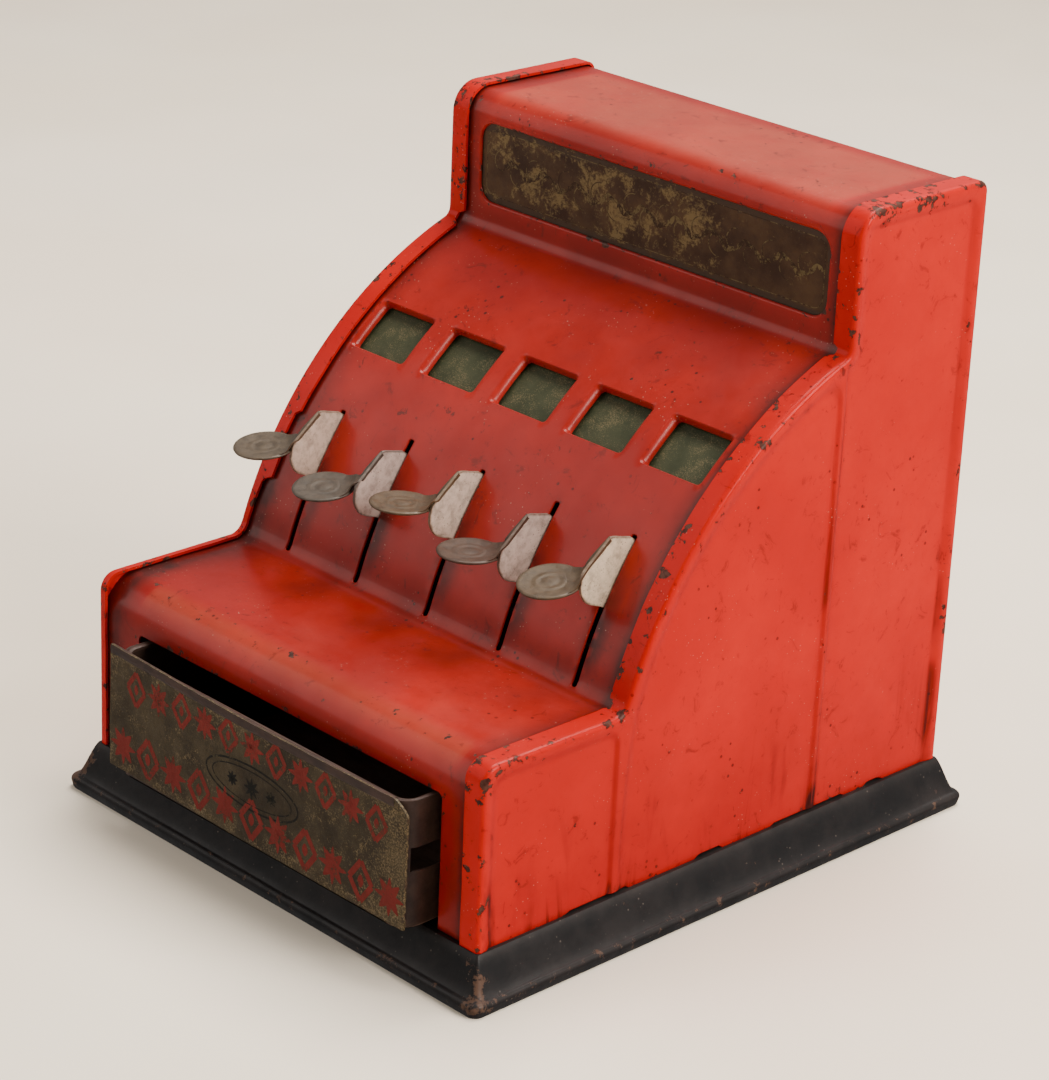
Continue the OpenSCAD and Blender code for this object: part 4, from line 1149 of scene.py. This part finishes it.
def number_flag(n):
    """A curved tin flag; its number comes up behind the window when the key is pressed."""
    droop = LEVER_ANGLE - key_angle(n)
    low_angle = WINDOW_ANGLES[0] - FLAG_BELOW - droop
    high_angle = WINDOW_ANGLES[1] + FLAG_ABOVE - droop
    middle = key_x(n) + WINDOW_SHIFT
    half = WINDOW_W / 2 + 1.5
    shape = Shape()
    rows = [[(x, *polar(FLAG_R - 0.02, a)) for x in np.linspace(middle - half, middle + half, 21)]
            for a in np.linspace(low_angle, high_angle, 26)]
    shape.strip(rows, 0.0, 0.08)
    shape.build(f"number_flag_{n}", FLAG, f"key_{n}", "green_flag", [f"number_flag_{n}"], FLAG_T * 0.9,
                front=(0, -1, 1))
    # the number itself, cut from flat strokes and wrapped on to the flag
    text = bpy.data.curves.new("number", "FONT")
    text.body = str(FLAG_NUMBERS[n - 1])
    text.size = NUMBER_SIZE
    text.align_x = "CENTER"
    text.align_y = "CENTER"
    holder = bpy.data.objects.new("number", text)
    bpy.context.scene.collection.objects.link(holder)
    drawn = bpy.data.meshes.new_from_object(holder.evaluated_get(bpy.context.evaluated_depsgraph_get()))
    bpy.data.objects.remove(holder)
    bm = bmesh.new()
    bm.from_mesh(drawn)
    for height in np.arange(-6, 6, 1.0):  # cut across, so that it bends with the flag
        bmesh.ops.bisect_plane(bm, geom=bm.verts[:] + bm.edges[:] + bm.faces[:],
                               plane_co=(0, height, 0), plane_no=(0, 1, 0))
    bm.to_mesh(drawn)
    bm.free()
    centre = (WINDOW_ANGLES[0] + WINDOW_ANGLES[1]) / 2 + KEY_TRAVEL - droop
    shape = Shape()
    shape.add([(middle + v.co.x, *polar(FLAG_R + 0.05, centre + math.degrees(v.co.y / FLAG_R)))
               for v in drawn.vertices],
              [list(f.vertices) for f in drawn.polygons])
    shape.build(f"flag_number_{n}", NUMBER_INK, f"key_{n}", "green_flag", keep=True)


for key_number in KEYS:
    key(key_number)
    number_flag(key_number)

# ---------------------------------------------------------------- drawer


TRAY_HALF = 52 - 0.02        # half the tray's width
TRAY_H = 31.6
TRAY_CORNER = 5.0            # round of the tray's corners
TRAY_HEM = 1.7               # width of its folded rim
TRAY_GAP = (2.4, 15.8)       # each side is open between these depths behind the tray's front,
TRAY_GAP_Z = (0.44 * TRAY_H, 0.44 * TRAY_H + 6)  # and between these heights over its floor


def drawer_tray():
    """The tin tray: one sheet round its walls with a gap in each side, a floor and a folded rim."""
    (_, y0, floor_z), (_, y1, _) = node_box("drawer_tray")
    y0, y1 = y0 + 0.02, y1 - 0.02
    top = floor_z + TRAY_H
    middle = (0, (y0 + y1) / 2)
    ring = rounded(2 * TRAY_HALF, y1 - y0, TRAY_CORNER, middle)
    gap = [floor_z + z for z in TRAY_GAP_Z]
    zs = np.unique(np.round(np.concatenate((np.linspace(floor_z, top, 18), gap)), 4))

    def sagged(x, y, z):
        """The long walls bow in a little, most at the middle of their rims."""
        bow = 0.3 * math.sin(math.pi * (y - y0) / (y1 - y0)) * float(smooth(floor_z, top, z))
        return (x - math.copysign(bow, x) if abs(x) > TRAY_HALF - 0.1 else x, y, z)

    points = [sagged(x, y, z) for z in zs for x, y in ring]
    count = len(ring)
    faces = []
    for j in range(len(zs) - 1):
        for i in range(count):
            k = (i + 1) % count
            x, y = (ring[i] + ring[k]) / 2
            z = (zs[j] + zs[j + 1]) / 2
            in_gap = abs(x) > TRAY_HALF - 3 and TRAY_GAP[0] < y - y0 < TRAY_GAP[1] and gap[0] < z < gap[1]
            if not in_gap:
                faces.append([j * count + i, j * count + k, (j + 1) * count + k, (j + 1) * count + i])
    shape = Shape()
    shape.add(points, faces, 0.15, 0.1)
    shape.build("drawer_tray", TIN, "drawer", "brown_tin", ["drawer_tray"], SHEET * 0.8, flat=30)
    shape = Shape()
    flat, tris = fill([ring], grid=grid_points(np.arange(-TRAY_HALF, TRAY_HALF, 3.0), np.arange(y0, y1, 3.0)))
    shape.add([(x, y, floor_z + 0.3) for x, y in flat], tris, 0.0, 0.4)
    shape.build("drawer_floor", TIN_INSIDE, "drawer", "brown_tin", thickness=0.3)
    shape = Shape()
    rows = []
    for inset, drop in ((0.0, 0.9), (0.05, 0.25), (0.5, 0.0), (1.2, 0.0), (TRAY_HEM, 0.25), (TRAY_HEM, 1.0)):
        loop = rounded(2 * (TRAY_HALF - inset), y1 - y0 - 2 * inset, TRAY_CORNER - inset, middle)
        rows.append([(x, y, top - drop) for x, y in loop])
    shape.strip(rows, 0.3, closed=True)
    shape.build("drawer_rim", TIN, "drawer", "brown_tin", flat=50)


FRONT_BOW = 0.55             # how far the front's ends lean back towards the case


def front_place():
    """Places (x, z) on the drawer's front, which bows a little."""
    (_, face_y, z0), (half, _, z1) = node_box("drawer_front")
    face_y += 0.12

    def place(x, z, lift=0.0):
        u = x / half
        bow = FRONT_BOW * u * u * (0.35 + 0.65 * smooth(8, 30, z))
        bow += 0.06 * noise.noise(Vector((x / 9, z / 9, 4)))
        curl = 0.9 * smooth(half - 12, half + 2, x) * smooth(22, 34, z)
        left = float(smooth(0, -half, x))
        return (x - 0.7 * left, face_y + float(bow) + float(curl) * 0.3 - lift,
                z + left * (0.3 + 0.6 * z / 34))
    return place, half, z0, z1


def drawer_front():
    """The front's plate, with its torn and clipped right end, and the hem folded over its top."""
    place, half, z0, z1 = front_place()
    left = [(-half, z) for z in np.arange(z1 - 1, z0, -STEP)]
    bottom = [(x, z0) for x in np.arange(-half, half, STEP)]
    torn = [(half - 0.45 + 0.5 * noise.noise(Vector((z / 1.6, 8.2, 0))), z)
            for z in np.arange(z0, z1 - 3.4, 0.6)]
    clipped = [(half - 0.8, z1 - 3.0), (half - 2.0, z1 - 1.9), (half - 3.4, z1 - 0.9), (half - 4.6, z1 - 0.3)]
    top = [(x, z1 - 0.15 * abs(noise.noise(Vector((x / 4, 1.5, 0)))))
           for x in np.arange(half - 5.6, -half, -STEP)]
    rim = np.array(bottom + torn + clipped + top + left)
    grid = grid_points(np.arange(-half, half, 1.2), np.arange(z0, z1, 1.2))
    flat, tris = fill([rim], grid=grid)
    edge = rim_distance(flat, rim)
    gilt = 0.22 * smooth(half - 22, half, flat[:, 0]) + 0.14 * smooth(6, 1, edge)
    oval = np.hypot(flat[:, 0] / 17, (flat[:, 1] - 17) / 7.5)
    gilt -= 0.28 * smooth(1.1, 0.8, oval)
    shape = Shape()
    shape.add([place(x, z) for x, z in flat], tris, 0.55 * smooth(1.6, 0.3, edge), gilt)
    shape.build("drawer_front", DRAWER, "drawer", "printed_drawer_front", ["drawer_front"], 0.6,
                front=(0, -1, 0))
    shape = Shape()
    ends = np.concatenate((np.arange(-half + 0.15, half - 5.0, 1.4), [half - 5.0]))
    # the hem's section: height over the plate's top, and how far it stands out
    hem = [(-2.1, 0.01), (-2.0, 0.09), (-1.2, 0.13), (-0.4, 0.11), (0.0, 0.01), (0.12, -0.5), (-0.1, -1.0),
           (-0.9, -1.3)]
    shape.strip([[place(x, z1 + drop - 0.12, lift) for x in ends] for drop, lift in hem], 0.35, 0.1)
    shape.build("drawer_front_hem", TIN, "drawer", "printed_drawer_front", flat=60)


def leaf_points(x, z, length, tilt):
    """A leaf's spine: nine points through (x, z), tilted from upright."""
    return [(x + length * t * math.sin(tilt), z + length * t * math.cos(tilt))
            for t in np.linspace(-0.5, 0.5, 9)]


def drawer_print():
    """Generic ornament on the drawer: rows of red lozenges and flowers, one arched, and a dark oval."""
    place, half, z0, z1 = front_place()
    red, dark = Shape(), Shape()
    swell = 0.3 + 1.9 * np.sin(math.pi * np.linspace(0, 1, 9)) ** 0.8
    turns = np.linspace(0, 2 * math.pi, 49)

    def flower(shape, x, z, size, petals=(0.55, -0.55), fat=1.0):
        for tilt in petals:
            ribbon(shape, leaf_points(x, z, size, tilt), swell * fat, place, 0.03)

    def lozenge(shape, x, z, w, h, stroke):
        corners = [(x, z + h / 2), (x + w / 2, z), (x, z - h / 2), (x - w / 2, z)]
        for start, end in zip(corners, corners[1:] + corners[:1]):
            ribbon(shape, np.linspace(start, end, 5), stroke, place, 0.03)

    for i in range(-5, 6):
        x = i * 8.6
        z = 24.6 + 2.4 * (1 - (x / 46) ** 2)
        if i % 2:
            lozenge(red, x, z, 6.6, 8.6, 1.25)
            flower(red, x, z, 2.6, (0,), 0.7)
        else:
            flower(red, x, z, 8.2, (0.72, -0.72), 1.05)
            flower(red, x, z, 8.4, (0, math.pi / 2), 0.8)
    for i in range(-5, 6):
        x = i * 9.6
        if i % 2:
            flower(red, x, 8.6, 9.4, (0.72, -0.72), 1.25)
            flower(red, x, 8.6, 9.6, (0, math.pi / 2), 0.9)
        else:
            lozenge(red, x, 8.6, 7.6, 10.0, 1.5)
            flower(red, x, 8.6, 3.2, (0,), 0.9)
    for w, h, stroke in ((16.5, 5.6, 0.5), (14.2, 4.3, 0.3)):
        ribbon(dark, [(w * math.cos(a), 16.6 + h * math.sin(a)) for a in turns], stroke, place, 0.03)
    for x, size in ((0, 5.4), (-7, 3.8), (7, 3.8)):
        flower(dark, x, 16.6, size, (0, math.pi / 2, 0.78, -0.78), 0.5)
    red.build("drawer_leaves", RED_INK, "drawer", "printed_drawer_front", keep=True)
    dark.build("drawer_oval", DARK_INK, "drawer", "printed_drawer_front", keep=True)


drawer_tray()
drawer_front()
drawer_print()

# ---------------------------------------------------------------- the pieces inside keep their CAD shapes

INNER = {
    STEEL: ["key_shaft", "shaft_spacers", "shaft_caps", "bail_spring", "hammer_strip", "hammer_head",
            "bell_post", "bell_nut", "drawer_latch", "drawer_spring"] + [f"key_spring_{n}" for n in KEYS],
    DARK_STEEL: ["pivot_bracket", "bracket_rivets", "trip_bail", "release_finger", "drawer_guides",
                 "guide_rivets", "latch_rivets", "spring_stop"],
    TIN: ["drawer_catch"],
    BRASS: ["bell_gong"],
}
for finish, names in INNER.items():
    for node_name in names:
        node_mesh = frame["nodes"][node_name].data
        node_mesh.materials.clear()
        node_mesh.materials.append(finish)

# ---------------------------------------------------------------- stage, light and camera


def stage_floor():
    """A pale floor that curves up far behind the object."""
    bm = bmesh.new()
    reach, back, radius = 3.0, 1.6, 0.8
    profile = [(-reach, 0.0), (back, 0.0)]
    profile += [(back + radius * math.sin(a), radius * (1 - math.cos(a)))
                for a in np.linspace(0.1, math.pi / 2, 12)]
    profile.append((back + radius, 3.0))
    away = Matrix.Rotation(math.radians(45), 3, "Z")
    rings = [[bm.verts.new(away @ Vector((x, y, z))) for x in (-4.0, 4.0)] for y, z in profile]
    for a, b in zip(rings, rings[1:]):
        bm.faces.new((a[0], a[1], b[1], b[0]))
    mesh = bpy.data.meshes.new("floor")
    bm.to_mesh(mesh)
    bm.free()
    mesh.shade_smooth()
    mesh.materials.append(floor_paint())
    obj = bpy.data.objects.new("floor", mesh)
    obj.visible_glossy = False
    bpy.context.scene.collection.objects.link(obj)


def area_light(name, azimuth, elevation, distance, size, watts, tint):
    """A soft square light that faces the object's middle. Azimuth runs from the front to the right."""
    data = bpy.data.lights.new(name, "AREA")
    data.energy = watts
    data.size = size
    data.color = tint
    obj = bpy.data.objects.new(name, data)
    a, e = math.radians(azimuth), math.radians(elevation)
    away = Vector((math.sin(a) * math.cos(e), -math.cos(a) * math.cos(e), math.sin(e)))
    obj.location = Vector((0, 0, 0.07)) + away * distance
    obj.rotation_euler = away.to_track_quat("Z", "Y").to_euler()
    bpy.context.scene.collection.objects.link(obj)


def camera():
    """The photograph's viewing angle: 45 degrees round from the front and 23 degrees up."""
    azimuth, elevation, roll = (math.radians(a) for a in (45.45, 22.63, 2.507))
    distance = 0.815
    target = Vector((0.00848, -0.00895, 0.07442))
    back = Vector((math.sin(azimuth) * math.cos(elevation), -math.cos(azimuth) * math.cos(elevation),
                   math.sin(elevation)))
    right = Vector((math.cos(azimuth), math.sin(azimuth), 0))
    up = back.cross(right)
    right, up = (math.cos(roll) * right + math.sin(roll) * up, -math.sin(roll) * right + math.cos(roll) * up)
    data = bpy.data.cameras.new("camera")
    data.lens = 113.9
    data.sensor_width = 36
    data.clip_start = 0.05
    obj = bpy.data.objects.new("camera", data)
    facing = Matrix((right, up, back)).transposed().to_4x4()
    obj.matrix_world = Matrix.Translation(target + back * distance) @ facing
    bpy.context.scene.collection.objects.link(obj)
    bpy.context.scene.camera = obj


def world():
    made = bpy.data.worlds.new("studio")
    made.use_nodes = True
    background = made.node_tree.nodes["Background"]
    background.inputs["Color"].default_value = (0.92, 0.90, 0.88, 1)
    background.inputs["Strength"].default_value = 0.40
    bpy.context.scene.world = made


stage_floor()
world()
area_light("overhead", 190, 68, 1.1, 0.8, 24, (1.0, 0.955, 0.89))
area_light("window", 105, 32, 1.3, 0.7, 24, (1.0, 0.945, 0.88))
area_light("left_fill", -40, 30, 1.4, 1.1, 6.5, (1.0, 0.96, 0.91))
camera()
